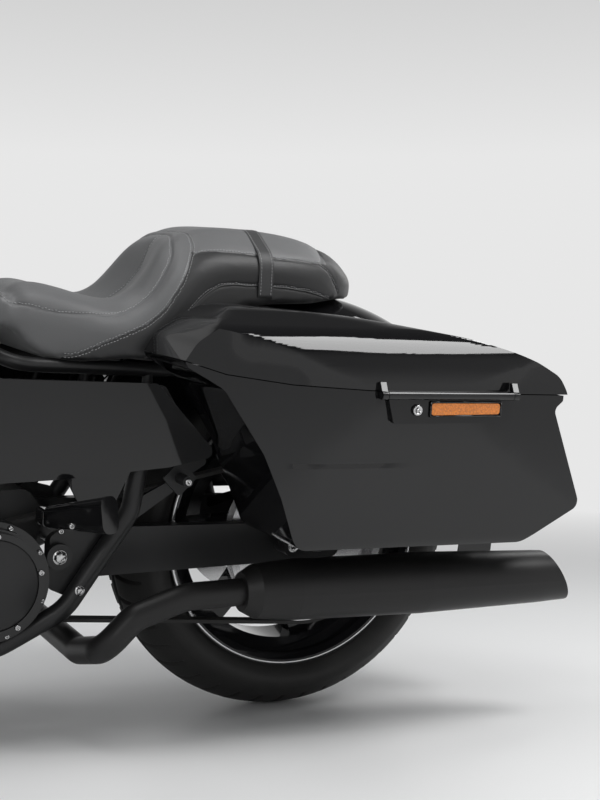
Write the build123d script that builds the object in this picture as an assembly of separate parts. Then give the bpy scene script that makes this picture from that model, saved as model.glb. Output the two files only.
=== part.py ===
from build123d import *
import os
from math import cos, radians, sin, sqrt, tan

# Touring cruiser motorcycle.  Millimetres, +X forward, +Y to the rider's left, +Z up.
# Everything is drawn on the upright machine, with the rear axle above the origin,
# and then leaned onto its side stand as one assembly.

# ---- driving dimensions -------------------------------------------------------------
WHEELBASE = 1625.0
LEAN = 7.0                      # degrees to the left, onto the side stand
WALL = 4.0                      # moulded shells: saddlebags, lids, fairing
SHEET = 2.5                     # pressed steel: fenders
RUN = 0.05                      # radial clearance of a running fit
SEAM = 1.5                      # gap between a lid and its box
BEAD_GAP = 0.3                  # tyre bead off the rim
BEAD_SHARE = 0.74               # width between the rim's flanges, as a share of the tyre's
FLANGE = 13.0                   # height of the rim's flange

REAR_TYRE_R, REAR_TYRE_W = 328.0, 180.0
FRONT_TYRE_R, FRONT_TYRE_W = 319.0, 130.0
REAR_RIM_R, FRONT_RIM_R = 229.0, 241.0        # bead seats: 18 and 19 inch
CARCASS = 11.0                  # tyre wall
AXLE_R = 12.5
SPOKES = 7

RAKE = 26.0                     # steering axis back from the vertical, degrees
FORK_OFFSET = 20.0              # fork legs ahead of the steering axis
FORK_Y = 118.0                  # fork leg from the middle
STEER_LOCK = 30.0               # degrees each way
STEM_R = 15.0
LOWER_YOKE, UPPER_YOKE = 490.0, 680.0         # distances up the fork from the axle

ARM_Y, ARM_W = 126.0, 24.0      # swingarm: inner face from the middle, thickness
PIVOT = (467.0, 322.0)          # swingarm pivot, x and z
FRAME_R = 16.0                  # cradle tube radius
RAIL_Y, RAIL_Z = 150.0, 170.0   # cradle tubes under the engine
KICK_Y = 172.0                  # cradle tubes where they rise outside the swingarm
SEAT_RAIL_R = 12.0
SEAT_RAIL_Y = 134.0

CRANK = (880.0, 272.0)          # crankshaft, x and z
CLUTCH = (582.0, 286.0)         # clutch under the derby cover, x and z
VEE = 45.0                      # degrees between the cylinders
DECK, HEAD, COVER, COVER_TOP = 150.0, 285.0, 370.0, 422.0   # stations up a cylinder
CASE_Y = 92.0                   # crankcase half width

BAG_IN, BAG_OUT = 200.0, 437.0  # saddlebag side walls from the middle
BAG_SWELL = 1100.0              # plan radius of a saddlebag's outer side
BAG_OPEN = 75.0                 # degrees a lid swings out
HINGE = (BAG_OUT + 8.0, 617.0)  # lid hinge line, y and z
HINGE_X = (-190.0, 40.0)        # ends of the fixed hinge barrel
HINGE_R, HINGE_PIN_R = 7.0, 3.0

DOCK = (271.0, 448.0)           # docking post, x and z
MUFFLER_Y, MUFFLER_R = 300.0, 50.0
FENDER_R = 425.0                # rear fender, outside
FENDER_Y = 115.0                # rear fender half width
FRONT_FENDER_R, FRONT_FENDER_Y = 352.0, 78.0

STAND = (870.0, 190.0, 150.0)   # side stand pivot
STAND_FOOT = (958.0, 345.0)     # where the foot stands, x and y
STAND_FOLD = 80.0               # degrees it folds back
STAND_R = 11.0
FOOT_R, FOOT_T = 24.0, 8.0

CROWN_REAR, CROWN_FRONT = 100.0, 72.0         # tread crown radii

REAR_AXLE_Z = REAR_TYRE_R
# the leaned front tyre touches the same ground as the rear one
FRONT_AXLE_Z = FRONT_TYRE_R + (CROWN_REAR - CROWN_FRONT) * (1 - 1 / cos(radians(LEAN)))
FRONT_AXLE = (WHEELBASE, FRONT_AXLE_Z)
UP_X, UP_Z = -sin(radians(RAKE)), cos(radians(RAKE))      # up the fork
GROUND_DROP = CROWN_REAR * (1 - cos(radians(LEAN)))       # tread below the ground line
NOSE_X = FRONT_AXLE[0] - 325    # the fairing and bar are drawn from here, over the fork


# ---- helpers ------------------------------------------------------------------------
def slab(outline, radius, y0, y1):
    """A plate seen from the side: an outline of (x, z) points, between two y planes."""
    face = Plane.XZ.offset(-y0) * make_face(FilletPolyline(*outline, radius=radius, close=True))
    return extrude(face, amount=y1 - y0, dir=(0, 1, 0))


def bar(outline, radius, x0, x1):
    """A bar seen from the front: an outline of (y, z) points, between two x planes."""
    face = Plane.YZ.offset(x0) * make_face(FilletPolyline(*outline, radius=radius, close=True))
    return extrude(face, amount=x1 - x0, dir=(1, 0, 0))


def deck(outline, radius, z0, z1):
    """A plate seen from above: an outline of (x, y) points, between two z planes."""
    face = Plane.XY.offset(z0) * make_face(FilletPolyline(*outline, radius=radius, close=True))
    return extrude(face, amount=z1 - z0, dir=(0, 0, 1))


def rod(start, end, radius):
    """A round bar between two points."""
    run = Vector(*end) - Vector(*start)
    seat = Plane(origin=start, z_dir=run)
    return seat * Cylinder(radius, run.length, align=(Align.CENTER, Align.CENTER, Align.MIN))


def tube(points, bends, radius):
    """A bent round bar along straight runs joined by arcs."""
    path = FilletPolyline(*points, radius=bends)
    return sweep(Plane(origin=path @ 0, z_dir=path % 0) * Circle(radius), path=path)


def turned(profile, centre, y_shift=0.0):
    """A solid turned about a lateral axle from (radius, y) points."""
    solid = revolve(make_face(Polyline(*profile, close=True)), axis=Axis.Y)
    return Pos(centre[0], y_shift, centre[1]) * solid


def disc(centre, radius, y0, y1):
    """A round plate on a lateral axis."""
    return rod((centre[0], y0, centre[1]), (centre[0], y1, centre[1]), radius)


def mirrored(shape):
    """The same piece on the right-hand side."""
    return mirror(shape, about=Plane.XZ)


def pair(shape):
    """The left piece and its mirror image."""
    return shape + mirrored(shape)


def on_nose(shape):
    """A piece of the fairing, moved from its own drawing to the front of the machine."""
    return Pos(NOSE_X, 0, 0) * shape


def on_fork(along, y=0.0, ahead=0.0):
    """A point on the steered assembly: up the fork from the axle, and ahead of the legs."""
    return (FRONT_AXLE[0] + UP_X * along + UP_Z * ahead, y,
            FRONT_AXLE[1] + UP_Z * along - UP_X * ahead)


# ---- wheels -------------------------------------------------------------------------
def tyre(radius, width, rim_radius, crown, centre):
    half = width / 2
    shoulder_y = 0.82 * half
    shoulder_r = radius - crown + sqrt(crown ** 2 - shoulder_y ** 2)
    bead_y = BEAD_SHARE * half - BEAD_GAP
    bead_r = rim_radius + BEAD_GAP
    flange_r = rim_radius + FLANGE + BEAD_GAP

    def section(inset):
        out_r, out_y = shoulder_r - inset, shoulder_y - inset * 0.7
        belly_r = (flange_r + shoulder_r) / 2
        edges = [
            Line((bead_r, bead_y - inset), (flange_r, bead_y - inset)),
            ThreePointArc((flange_r, bead_y - inset), (belly_r, half - inset), (out_r, out_y)),
            ThreePointArc((out_r, out_y), (radius - inset, 0), (out_r, -out_y)),
            ThreePointArc((out_r, -out_y), (belly_r, inset - half), (flange_r, inset - bead_y)),
            Line((flange_r, inset - bead_y), (bead_r, inset - bead_y)),
            Line((bead_r, inset - bead_y), (bead_r, bead_y - inset)),
        ]
        return make_face(edges)

    ring = revolve(section(0) - section(CARCASS), axis=Axis.Y)
    return Pos(centre[0], 0, centre[1]) * ring


def rim(rim_radius, tyre_width, hub_r, hub_y, centre):
    """Cast wheel: a dropped-centre barrel, paired spokes and a bored hub."""
    seat = BEAD_SHARE * tyre_width / 2
    flange, lip, wall = rim_radius + FLANGE, 7.0, 7.0
    barrel = turned([
        (flange, seat + lip), (flange, seat), (rim_radius, seat), (rim_radius, seat - 16),
        (rim_radius - 22, seat - 30), (rim_radius - 22, 30 - seat), (rim_radius, 16 - seat),
        (rim_radius, -seat), (flange, -seat), (flange, -seat - lip), (flange - 9, -seat - lip),
        (rim_radius - wall, -seat), (rim_radius - wall, 12 - seat), (rim_radius - 22 - wall, 28 - seat),
        (rim_radius - 22 - wall, seat - 28), (rim_radius - wall, seat - 12), (rim_radius - wall, seat),
        (flange - 9, seat + lip)], centre)
    hub = disc(centre, hub_r, -hub_y, hub_y)
    reach = rim_radius - 22 - wall / 2
    spoke = slab([(hub_r - 12, -26), (reach, -17), (reach, 17), (hub_r - 12, 26)], 5, -16, 16)
    window = slab([(hub_r + 34, -7), (reach - 26, -6), (reach - 26, 6), (hub_r + 34, 7)], 4, -20, 20)
    blade = spoke - window
    star = [Pos(centre[0], 0, centre[1]) * Rot(0, 360 / SPOKES * n, 0) * blade for n in range(SPOKES)]
    wheel = barrel + hub + star
    bore = disc(centre, AXLE_R + RUN, -hub_y - 1, hub_y + 1)
    return wheel - bore


REAR = (0.0, REAR_AXLE_Z)
REAR_HUB_Y, REAR_HUB_R = 95.0, 46.0
FRONT_HUB_Y, FRONT_HUB_R = 70.0, 40.0
PULLEY_R, BELT_T, BELT_Y = 150.0, 6.0, (96.0, 120.0)
FRONT_PULLEY_R = 69.0
DISC_R, DISC_T = 150.0, 6.0
SPACE = 1.0                     # side gap between a hub and what holds its axle


def brake_disc(centre, y0, y1, bore_r):
    ring = disc(centre, DISC_R, y0, y1) - disc(centre, DISC_R - 38, y0 - 1, y1 + 1)
    carrier = disc(centre, bore_r + 16, y0, y1)
    arms = [Pos(centre[0], 0, centre[1]) * Rot(0, 72 * n + 20, 0)
            * slab([(bore_r, -9), (DISC_R - 30, -9), (DISC_R - 30, 9), (bore_r, 9)], 2, y0, y1)
            for n in range(5)]
    return ring + carrier + arms - disc(centre, AXLE_R + RUN, y0 - 1, y1 + 1)


def rear_pulley():
    y0, y1 = REAR_HUB_Y, ARM_Y - SPACE
    wheel = disc(REAR, PULLEY_R - 0.4, BELT_Y[0], BELT_Y[1])
    dish = disc(REAR, PULLEY_R - 14, BELT_Y[0] + 6, BELT_Y[1] + 1)
    hub = disc(REAR, 34, y0, y1)
    holes = [Pos(REAR[0], 0, REAR[1]) * Rot(0, 60 * n, 0) * disc((95, 0), 22, 90, 140) for n in range(6)]
    return wheel - dish + hub - holes - disc(REAR, AXLE_R + RUN, 90, 140)


def rear_disc():
    spacer = disc(REAR, 30, -ARM_Y + SPACE, -REAR_HUB_Y)
    plate = brake_disc(REAR, -REAR_HUB_Y - 10 - DISC_T, -REAR_HUB_Y - 10, 30)
    return plate + spacer - disc(REAR, AXLE_R + RUN, -140, -90)


def front_discs():
    plate = brake_disc(FRONT_AXLE, FRONT_HUB_Y + 2, FRONT_HUB_Y + 2 + DISC_T, 30)
    spacer = disc(FRONT_AXLE, 26, FRONT_HUB_Y, FORK_Y - 33 - SPACE)
    return pair(plate + spacer - disc(FRONT_AXLE, AXLE_R + RUN, 60, 90))


# ---- rear end -----------------------------------------------------------------------
def swingarm():
    x, z = PIVOT
    outline = [(x + 12, z - 30), (x + 12, z + 30), (x - 40, z + 42), (60, REAR_AXLE_Z + 34),
               (-48, REAR_AXLE_Z + 30), (-48, REAR_AXLE_Z - 30), (60, REAR_AXLE_Z - 34),
               (x - 40, z - 40)]
    arm = slab(outline, 20, ARM_Y, ARM_Y + ARM_W)
    cross = rod((x - 64, -ARM_Y, z), (x - 64, ARM_Y, z), 28)
    axle = disc(REAR, AXLE_R, -ARM_Y - 40, ARM_Y + 40)
    return arm + mirrored(arm) + cross - axle


def rear_axle():
    reach = ARM_Y + ARM_W
    shaft = disc(REAR, AXLE_R, -reach - 10, reach + 10)
    nuts = [disc(REAR, 19, reach, reach + 10), disc(REAR, 19, -reach - 10, -reach)]
    return shaft + nuts


SHOCK_LOW, SHOCK_TOP = (62.0, REAR_AXLE_Z), (150.0, 598.0)
SHOCK_Y = ARM_Y + ARM_W + 26


def shock():
    low, top = (SHOCK_LOW[0], SHOCK_Y, SHOCK_LOW[1]), (SHOCK_TOP[0], SHOCK_Y, SHOCK_TOP[1])
    a, b = Vector(*low), Vector(*top)

    def part(start, end, radius):
        return rod(tuple(a + (b - a) * start), tuple(a + (b - a) * end), radius)
    body = part(0, 0.45, 17) + part(0.40, 1, 12) + part(0.42, 0.46, 22) + part(0.88, 0.93, 22)
    coil = [part(0.46 + 0.07 * n, 0.49 + 0.07 * n, 21) for n in range(6)]
    eyes = [disc(SHOCK_LOW, 17, ARM_Y + ARM_W, SHOCK_Y + 14),
            disc(SHOCK_TOP, 17, SEAT_RAIL_Y + SEAT_RAIL_R + 4, SHOCK_Y + 14)]
    return body + coil + eyes


def drive_belt():
    def loop(extra, y0, y1):
        circles = [Pos(REAR[0], REAR[1]) * Circle(PULLEY_R + extra),
                   Pos(CLUTCH[0], CLUTCH[1]) * Circle(FRONT_PULLEY_R + extra)]
        face = Plane.XZ.offset(-y0) * make_hull(circles[0].edges() + circles[1].edges())
        return extrude(face, amount=y1 - y0, dir=(0, 1, 0))
    return loop(BELT_T, *BELT_Y) - loop(0, BELT_Y[0] - 1, BELT_Y[1] + 1)


def fender_solid():
    """The rear fender's outside, filled: what sits on the fender is cut to it."""
    r, y = FENDER_R, FENDER_Y
    edges = [ThreePointArc((r - 34, y), (r, 0), (r - 34, -y)), Line((r - 34, -y), (0, -y)),
             Line((0, -y), (0, y)), Line((0, y), (r - 34, y))]
    return Pos(REAR[0], 0, REAR[1]) * revolve(make_face(edges), axis=Axis.Y)


def rear_fender():
    """A deep channel turned about the axle, with a skirted tail."""
    r, y, t = FENDER_R, FENDER_Y, SHEET
    edges = [ThreePointArc((r - 34, y), (r, 0), (r - 34, -y)), Line((r - 34, -y), (r - 105, -y)),
             Line((r - 105, -y), (r - 105, t - y)), Line((r - 105, t - y), (r - 34, t - y)),
             ThreePointArc((r - 34, t - y), (r - t, 0), (r - 34, y - t)),
             Line((r - 34, y - t), (r - 105, y - t)), Line((r - 105, y - t), (r - 105, y)),
             Line((r - 105, y), (r - 34, y))]
    ring = revolve(make_face(edges), axis=Axis.Y, revolution_arc=160)
    return Pos(REAR[0], 0, REAR[1]) * Rot(0, -38 - 150, 0) * ring


# ---- frame --------------------------------------------------------------------------
STEER_BASE = on_fork(0, 0, -FORK_OFFSET)      # steering axis beside the axle
HEAD_LOW, HEAD_TOP = LOWER_YOKE + 22, UPPER_YOKE - 16
HEAD_R = 30.0


def frame_spine():
    """Steering head, backbone and the rails that carry the seat and the tail."""
    low, top = on_fork(HEAD_LOW, 0, -FORK_OFFSET), on_fork(HEAD_TOP, 0, -FORK_OFFSET)
    head = rod(low, top, HEAD_R)
    middle = on_fork((HEAD_LOW + HEAD_TOP) / 2, 0, -FORK_OFFSET)
    spine = tube([middle, (1110, 0, 792), (800, 0, 738), (590, 0, 664)], [150, 200], 28)
    gusset = slab([(1345, 835), (1180, 802), (1352, 785)], 6, -8, 8)
    rail = tube([(640, 20, 676), (540, SEAT_RAIL_Y, 628), (320, SEAT_RAIL_Y, 622),
                 (-190, SEAT_RAIL_Y, 640)], [60, 200], SEAT_RAIL_R)
    bore = rod(on_fork(HEAD_LOW - 5, 0, -FORK_OFFSET), on_fork(HEAD_TOP + 5, 0, -FORK_OFFSET),
               STEM_R + RUN)
    return head + spine + gusset + pair(rail) - bore


def frame_cradle():
    """The two lower tubes, from the steering head under the engine and up to the seat rails."""
    y = RAIL_Y
    points = [(1332, 20, 770), (1250, 70, 600), (1150, y - 10, 240), (1085, y, RAIL_Z), (565, y, RAIL_Z),
              (456, KICK_Y, 236), (352, KICK_Y, 392), (318, KICK_Y - 6, 596)]
    side = tube(points, [90, 90, 55, 90, 90, 60], FRAME_R)
    cross = [rod((x, -y, RAIL_Z), (x, y, RAIL_Z), 12) for x in (1070, 600)]
    tie = rod((318, SEAT_RAIL_Y, 592), (318, KICK_Y, 592), 10)
    tie += rod((318, SEAT_RAIL_Y, 592), (318, SEAT_RAIL_Y, 622), 9)
    plate = slab([(480, 268), (480, 352), (430, 392), (380, 380), (400, 300), (440, 250)], 10,
                 ARM_Y + ARM_W, ARM_Y + ARM_W + 8)
    pivot = disc(PIVOT, 21, ARM_Y + ARM_W + 8, ARM_Y + ARM_W + 22)
    return pair(side + plate + pivot + tie) + cross + stand_bracket()


# ---- engine -------------------------------------------------------------------------
def engine_block():
    """Crankcase and gearbox in one, closed inside, with the belt pulley's boss."""
    case = slab([(1015, 205), (1015, 330), (960, 390), (800, 398), (700, 410), (500, 420),
                 (470, 380), (520, 196), (980, 196)], 26, -CASE_Y, CASE_Y)
    boss = disc(CLUTCH, FRONT_PULLEY_R, CASE_Y, CASE_Y + 34)
    return case + boss


def on_cylinder(side, along, across=0.0, y=0.0):
    """A point up one cylinder: side is +1 for the front one and -1 for the rear one."""
    lean = radians(VEE / 2) * side
    return (CRANK[0] + sin(lean) * along + cos(lean) * across, y,
            CRANK[1] + cos(lean) * along - sin(lean) * across)


def cylinder_stack(side, low, high, width, depth, corner):
    """A block across one cylinder's axis, between two stations."""
    lean = VEE / 2 * side
    seat = Plane(origin=on_cylinder(side, low), z_dir=Vector(sin(radians(lean)), 0, cos(radians(lean))),
                 x_dir=Vector(cos(radians(lean)), 0, -sin(radians(lean))))
    return extrude(seat * RectangleRounded(width, depth, corner), amount=high - low)


FIN_T, FIN_PITCH = 3.5, 12.0


def cylinders():
    """Two finned barrels and heads in a vee."""
    both = []
    for side in (1, -1):
        barrel = cylinder_stack(side, DECK - 30, HEAD, 104, 112, 30)
        lows = [DECK + 6 + FIN_PITCH * n for n in range(int((HEAD - DECK - 6) // FIN_PITCH))]
        fins = [cylinder_stack(side, low, low + FIN_T, 148, 152, 34) for low in lows]
        head = cylinder_stack(side, HEAD, COVER, 120, 120, 16)
        head_fins = [cylinder_stack(side, HEAD + 2 + 14 * n, HEAD + 7 + 14 * n, 156, 150, 24)
                     for n in range(6)]
        both += [barrel + fins + head + head_fins]
    return both[0] + both[1] - slab([(1015, 205), (1015, 330), (960, 390), (800, 398), (700, 410),
                                     (500, 420), (470, 380), (520, 196), (980, 196)], 26, -CASE_Y, CASE_Y)


def rocker_covers():
    covers = []
    for side in (1, -1):
        base = cylinder_stack(side, COVER, COVER + 18, 160, 148, 22)
        top = cylinder_stack(side, COVER + 18, COVER_TOP, 140, 128, 26)
        covers += [base + top]
    return covers[0] + covers[1]


def primary_cover():
    """Long cover over the primary drive, with the round clutch cover standing on it."""
    circles = [Pos(*CLUTCH) * Circle(98), Pos(*CRANK) * Circle(84)]
    face = make_hull(circles[0].edges() + circles[1].edges())

    def layer(shape, y0, y1):
        return extrude(Plane.XZ.offset(-y0) * shape, amount=y1 - y0, dir=(0, 1, 0))
    body = layer(face, BELT_Y[1] + 8, 176) + layer(offset(face, -10), 176, 188)
    neck = slab([(950, 215), (950, 330), (700, 350), (700, 210)], 20, CASE_Y, BELT_Y[1] + 8)
    derby = disc(CLUTCH, 84, 188, 200) - disc(CLUTCH, 74, 197, 201)
    return body + neck + derby


def cam_cover():
    body = disc((CRANK[0] + 10, CRANK[1] + 26), 92, -CASE_Y - 48, -CASE_Y)
    nose = slab([(1000, 230), (1000, 330), (900, 360), (900, 210)], 20, -CASE_Y - 34, -CASE_Y)
    gear = slab([(820, 215), (820, 380), (520, 400), (490, 330), (540, 215)], 26, -CASE_Y - 40, -CASE_Y)
    tubes = []
    for side in (1, -1):
        for across in (-16, 16):
            foot = on_cylinder(side, 96, across, -CASE_Y - 22)
            top = on_cylinder(side, COVER - 2, across, -CASE_Y - 4)
            tubes += [rod(foot, top, 8)]
    return body + nose + gear + tubes


def air_cleaner():
    centre = (CRANK[0], CRANK[1] + 330)
    drum = disc(centre, 96, -CASE_Y - 92, -CASE_Y - 40)
    cap = disc(centre, 84, -CASE_Y - 102, -CASE_Y - 92)
    duct = slab([(centre[0] - 46, centre[1] - 34), (centre[0] + 46, centre[1] - 34),
                 (centre[0] + 46, centre[1] + 34), (centre[0] - 46, centre[1] + 34)], 12, -CASE_Y - 40, 40)
    return drum + cap + duct


def exhaust_pipes():
    """Front and rear header pipes on the right, joined, with a crossover to the left muffler."""
    y = MUFFLER_Y
    front = tube([on_cylinder(1, 320, 62, -30), on_cylinder(1, 312, 150, -110), (1122, -196, 236),
                  (1010, -226, 214), (480, -280, 218), (330, -y, 276), (205, -y, 282)],
                 [40, 90, 60, 90, 60], 22)
    rear = tube([on_cylinder(-1, 318, -62, -30), (664, -112, 524), (660, -216, 440), (646, -258, 218)],
                [30, 60], 20)
    left = tube([(590, -266, 217), (434, -180, 172), (434, 190, 172), (430, y - 2, 202),
                 (385, y, 250), (300, y, 279), (205, y, 282)], [50, 50, 36, 50, 120], 22)
    return front + rear + left


def muffler():
    x0, x1 = 205, -425
    profile = [(0, 0), (32, 0), (44, 22), (MUFFLER_R, 90), (MUFFLER_R + 2, 330), (MUFFLER_R - 4, 560),
               (MUFFLER_R - 8, 640), (MUFFLER_R - 14, 640), (MUFFLER_R - 14, 560), (0, 560)]
    can = revolve(make_face(Polyline(*profile, close=True)), axis=Axis.Y)
    can = Plane(origin=(x0, MUFFLER_Y, 282), z_dir=(0, 0, 1), x_dir=(0, 1, 0)) * can
    can -= Pos(x1 - 18, MUFFLER_Y, 260) * Rot(0, 28, 0) * Box(60, 160, 260)
    return can


# ---- tank, seat, covers -------------------------------------------------------------
def arch(x, half, low, high, crown):
    """A tank or seat section at one station: flat base, upright sides and an arched top."""
    edges = [Line((-half, low), (half, low)), Line((half, low), (half, high - crown)),
             ThreePointArc((half, high - crown), (0, high), (-half, high - crown)),
             Line((-half, high - crown), (-half, low))]
    return Plane.YZ.offset(x) * make_face(edges)


def fuel_tank():
    #            x   half  low  high crown
    stations = [(1215, 60, 790, 842, 26), (1170, 118, 752, 884, 74), (1060, 162, 716, 906, 112),
                (900, 158, 706, 886, 104), (760, 124, 704, 836, 78), (640, 78, 704, 782, 44)]
    body = loft([arch(*row) for row in stations])
    tunnel = slab([(1330, 680), (1330, 872), (1110, 836), (800, 784), (590, 708), (590, 600)], 12, -46, 46)
    return body - tunnel


def tank_cap():
    top = disc((0, 0), 34, 0, 14) + disc((0, 0), 26, 14, 20)
    return Pos(1010, 62, 868) * Rot(-90 + 14, 0, 0) * Rot(180, 0, 0) * top


STRAP = (118, 146, 744, 859, 44)        # its row, as in the saddle's table below
STRAP_W = 26.0


def seat_section(x, half, low, high, crown):
    """The saddle at one station: upright sides, rounded shoulders and a flat middle."""
    shoulder = high - crown
    outline = [(-half, low), (-half, shoulder), (-half / 2, high), (half / 2, high), (half, shoulder),
               (half, low)]
    radii = [8, 0.27 * half, 0.4 * half, 0.4 * half, 0.27 * half, 8]
    return Plane.YZ.offset(x) * make_face(FilletPolyline(*outline, radius=radii, close=True))


SEAT = [  # x, half width, bottom, top, and how far its shoulders are below the top
    (642, 78, 704, 746, 14), (560, 128, 676, 744, 22), (440, 176, 642, 738, 34), (370, 178, 640, 770, 44),
    (310, 166, 650, 822, 50), (250, 156, 690, 848, 50), (110, 142, 736, 855, 44), (0, 122, 742, 838, 34),
    (-60, 88, 748, 812, 24), (-92, 44, 750, 782, 10)]


def seat():
    """Two-up saddle: a low bucket for the rider that climbs to the passenger's pad."""
    return loft([seat_section(*row) for row in SEAT])


def seat_strap():
    """The passenger's strap, over the saddle from side to side."""
    x, half, low, high, crown = STRAP
    face = seat_section(x, half, low, high, crown)
    return extrude(face, amount=STRAP_W / 2, both=True) - seat()


def side_cover():
    plate = slab([(628, 612), (325, 606), (214, 488), (300, 470), (480, 453), (628, 446)], 12, 192, 204)
    low = slab([(480, 474), (350, 486), (404, 372), (424, 372)], 6, 186, 192)
    grommet = rod((335, KICK_Y, 500), (335, 196, 500), 9)
    return plate + low + grommet


# ---- saddlebags ---------------------------------------------------------------------
BAG_SEAM = [(-372, 614), (60, 622), (190, 628), (290, 640), (400, 672)]
BAG_SIDE = [(346, 700), (352, 652), (292, 618), (228, 520), (160, 366), (-258, 366), (-364, 430),
            (-294, 592), (-312, 606), (-312, 700)]
BAG_SIDE_R = [1, 16, 40, 60, 34, 34, 16, 12, 6, 1]
LID_SIDE = [(-332, 560), (-320, 620), (-302, 646), (-236, 678), (-136, 704), (50, 731), (190, 738),
            (245, 741), (292, 718), (334, 688), (356, 650), (340, 560)]
LID_SIDE_R = [4, 36, 50, 400, 600, 1200, 60, 60, 120, 50, 20, 4]


def drawn_in(outline, gap):
    """An outline with every side moved inwards by the same distance."""
    points = [Vector(*point) for point in outline]
    area = sum(one.X * two.Y - two.X * one.Y for one, two in zip(points, points[1:] + points[:1]))
    quarter = 90 if area > 0 else -90
    moved = []
    for before, here, after in zip(points[-1:] + points, points, points[1:] + points[:1]):
        one, two = (here - before).normalized(), (after - here).normalized()
        inward = (one + two).rotate(Axis.Z, quarter) * (gap / (1 + one.dot(two)))
        moved.append((here.X + inward.X, here.Y + inward.Y))
    return moved


def bag_block(side, side_radii, front, front_radii, gap):
    """What is common to a side outline, a front outline and the plan, all drawn in by a gap."""
    plan = [(-420, BAG_IN), (420, BAG_IN), (420, BAG_OUT - 78), (60, BAG_OUT + 18), (-420, BAG_OUT - 34)]
    return (slab(drawn_in(side, gap), [max(r - gap, 1) for r in side_radii], BAG_IN - 10, BAG_OUT + 30)
            & bar(drawn_in(front, gap), [max(r - gap, 1) for r in front_radii], -460, 460)
            & deck(drawn_in(plan, gap), [20, 20, 30, BAG_SWELL - gap, 30], 300, 800))


def bag_body(gap=0.0):
    """A saddlebag's body, filled: its outside, or the room inside its walls."""
    front = [(BAG_IN, 340), (BAG_OUT - 40, 352), (BAG_OUT, 560), (BAG_OUT, 720), (BAG_IN, 720)]
    return bag_block(BAG_SIDE, BAG_SIDE_R, front, [28, 40, 700, 1, 1], gap)


def saddlebag():
    above = slab(BAG_SEAM + [(400, 900), (-372, 900)], 0, 100, 600)
    barrel = rod((HINGE_X[0] - 14, *HINGE), (HINGE_X[1] + 14, *HINGE), HINGE_R + 2)
    return bag_body() - bag_body(WALL) - above - barrel


def lid_body(gap=0.0):
    """A lid, filled: its outside, or the room inside its walls."""
    front = [(BAG_IN - 2, 530), (BAG_IN - 2, 742), (BAG_IN + 90, 742), (BAG_OUT - 30, 706),
             (BAG_OUT, 630), (BAG_OUT, 530)]
    return bag_block(LID_SIDE, LID_SIDE_R, front, [1, 20, 200, 70, 160, 1], gap)


def lid():
    below = slab([(x, z + SEAM) for x, z in BAG_SEAM] + [(400, 300), (-372, 300)], 0, 100, 600)
    shell = lid_body() - lid_body(WALL) - below
    x0, x1 = HINGE_X
    shell -= rod((x0 - 1, *HINGE), (x1 + 1, *HINGE), HINGE_R + 3)
    y, z = HINGE
    ear = rod((x1 + 1, y, z), (x1 + 11, y, z), HINGE_R)
    ear += bar([(y - 4, z + 2), (y + 4, z + 2), (y - 5, z + 20), (y - 11, z + 20), (y - 11, z + 9)],
               0.5, x1 + 1, x1 + 11)
    ears = [ear, Pos(x0 - x1 - 12, 0, 0) * ear]
    pin = rod((x0 - 6, *HINGE), (x1 + 6, *HINGE), HINGE_PIN_R)
    return shell + ears + pin


def hinge_trim():
    """Fixed hinge half under the lid: a barrel on a slim plate that carries the lock."""
    x0, x1 = HINGE_X
    plate = slab([(x1 - 2, 616), (x1 - 14, 572), (x0 + 4, 574), (x0 + 2, 616)], 6, BAG_OUT - 20, BAG_OUT + 7)
    barrel = rod((x0, *HINGE), (x1, *HINGE), HINGE_R)
    lock = disc((-14, 594), 9, BAG_OUT + 7, BAG_OUT + 10)
    bore = rod((x0 - 1, *HINGE), (x1 + 1, *HINGE), HINGE_PIN_R + RUN)
    return plate - bag_body() + barrel + lock - bore


def reflector():
    return slab([(-40, 605), (-40, 586), (-166, 588), (-166, 605)], 4, BAG_OUT + 7, BAG_OUT + 10)


def bag_supports():
    """Brackets from the seat rails to the bags, with the docking posts behind the side covers."""
    x, z = DOCK
    post = rod((x, KICK_Y + 10, z), (x, KICK_Y + 46, z), 9)
    plate = slab([(x - 30, z), (x, z + 30), (x + 30, z), (x, z - 30)], 5, KICK_Y + 4, KICK_Y + 10)
    strut = slab([(332, 600), (302, 600), (x - 50, z + 24), (x - 22, z + 6), (x + 14, z + 24)], 8,
                 KICK_Y - 4, KICK_Y + 4)
    arm = slab([(x - 12, z + 10), (x + 4, z - 20), (356, 372), (376, 396)], 5, KICK_Y - 4, KICK_Y + 4)
    hanger = bar([(140, 640), (154, 640), (154, 600), (BAG_IN, 600), (BAG_IN, 592), (140, 592)], 3, -12, 12)
    hangers = [Pos(x, 0, 0) * hanger for x in (-130, 80)]
    return pair(post + plate + strut + arm + hangers)


# ---- tail ---------------------------------------------------------------------------
def tail_lamp():
    return slab([(-330, 548), (-330, 612), (-424, 606), (-446, 566)], 10, -62, 62) - fender_solid()


def plate_bracket():
    stay = slab([(-370, 400), (-370, 530), (-432, 530), (-446, 400)], 2, -40, 40) - fender_solid()
    board = slab([(-446, 388), (-434, 512), (-438, 512), (-450, 388)], 1, -104, 104)
    return stay + board


def rear_signals():
    stalk = rod((-400, 62, 585), (-400, 160, 585), 9)
    lamp = rod((-424, 178, 585), (-378, 178, 585), 26)
    return pair(stalk + lamp)


# ---- rider's furniture --------------------------------------------------------------
def footboards():
    board = deck([(1090, 232), (1098, 336), (880, 344), (872, 232)], 22, 292, 304)
    stay = [slab([(x - 10, 176), (x + 10, 176), (x + 10, 292), (x - 10, 292)], 3, RAIL_Y + 12, RAIL_Y + 30)
            + deck([(x - 10, RAIL_Y + 12), (x + 10, RAIL_Y + 12), (x + 10, 300), (x - 10, 300)], 2, 284, 292)
            for x in (1005, 1062)]
    return pair(board + stay)


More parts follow.
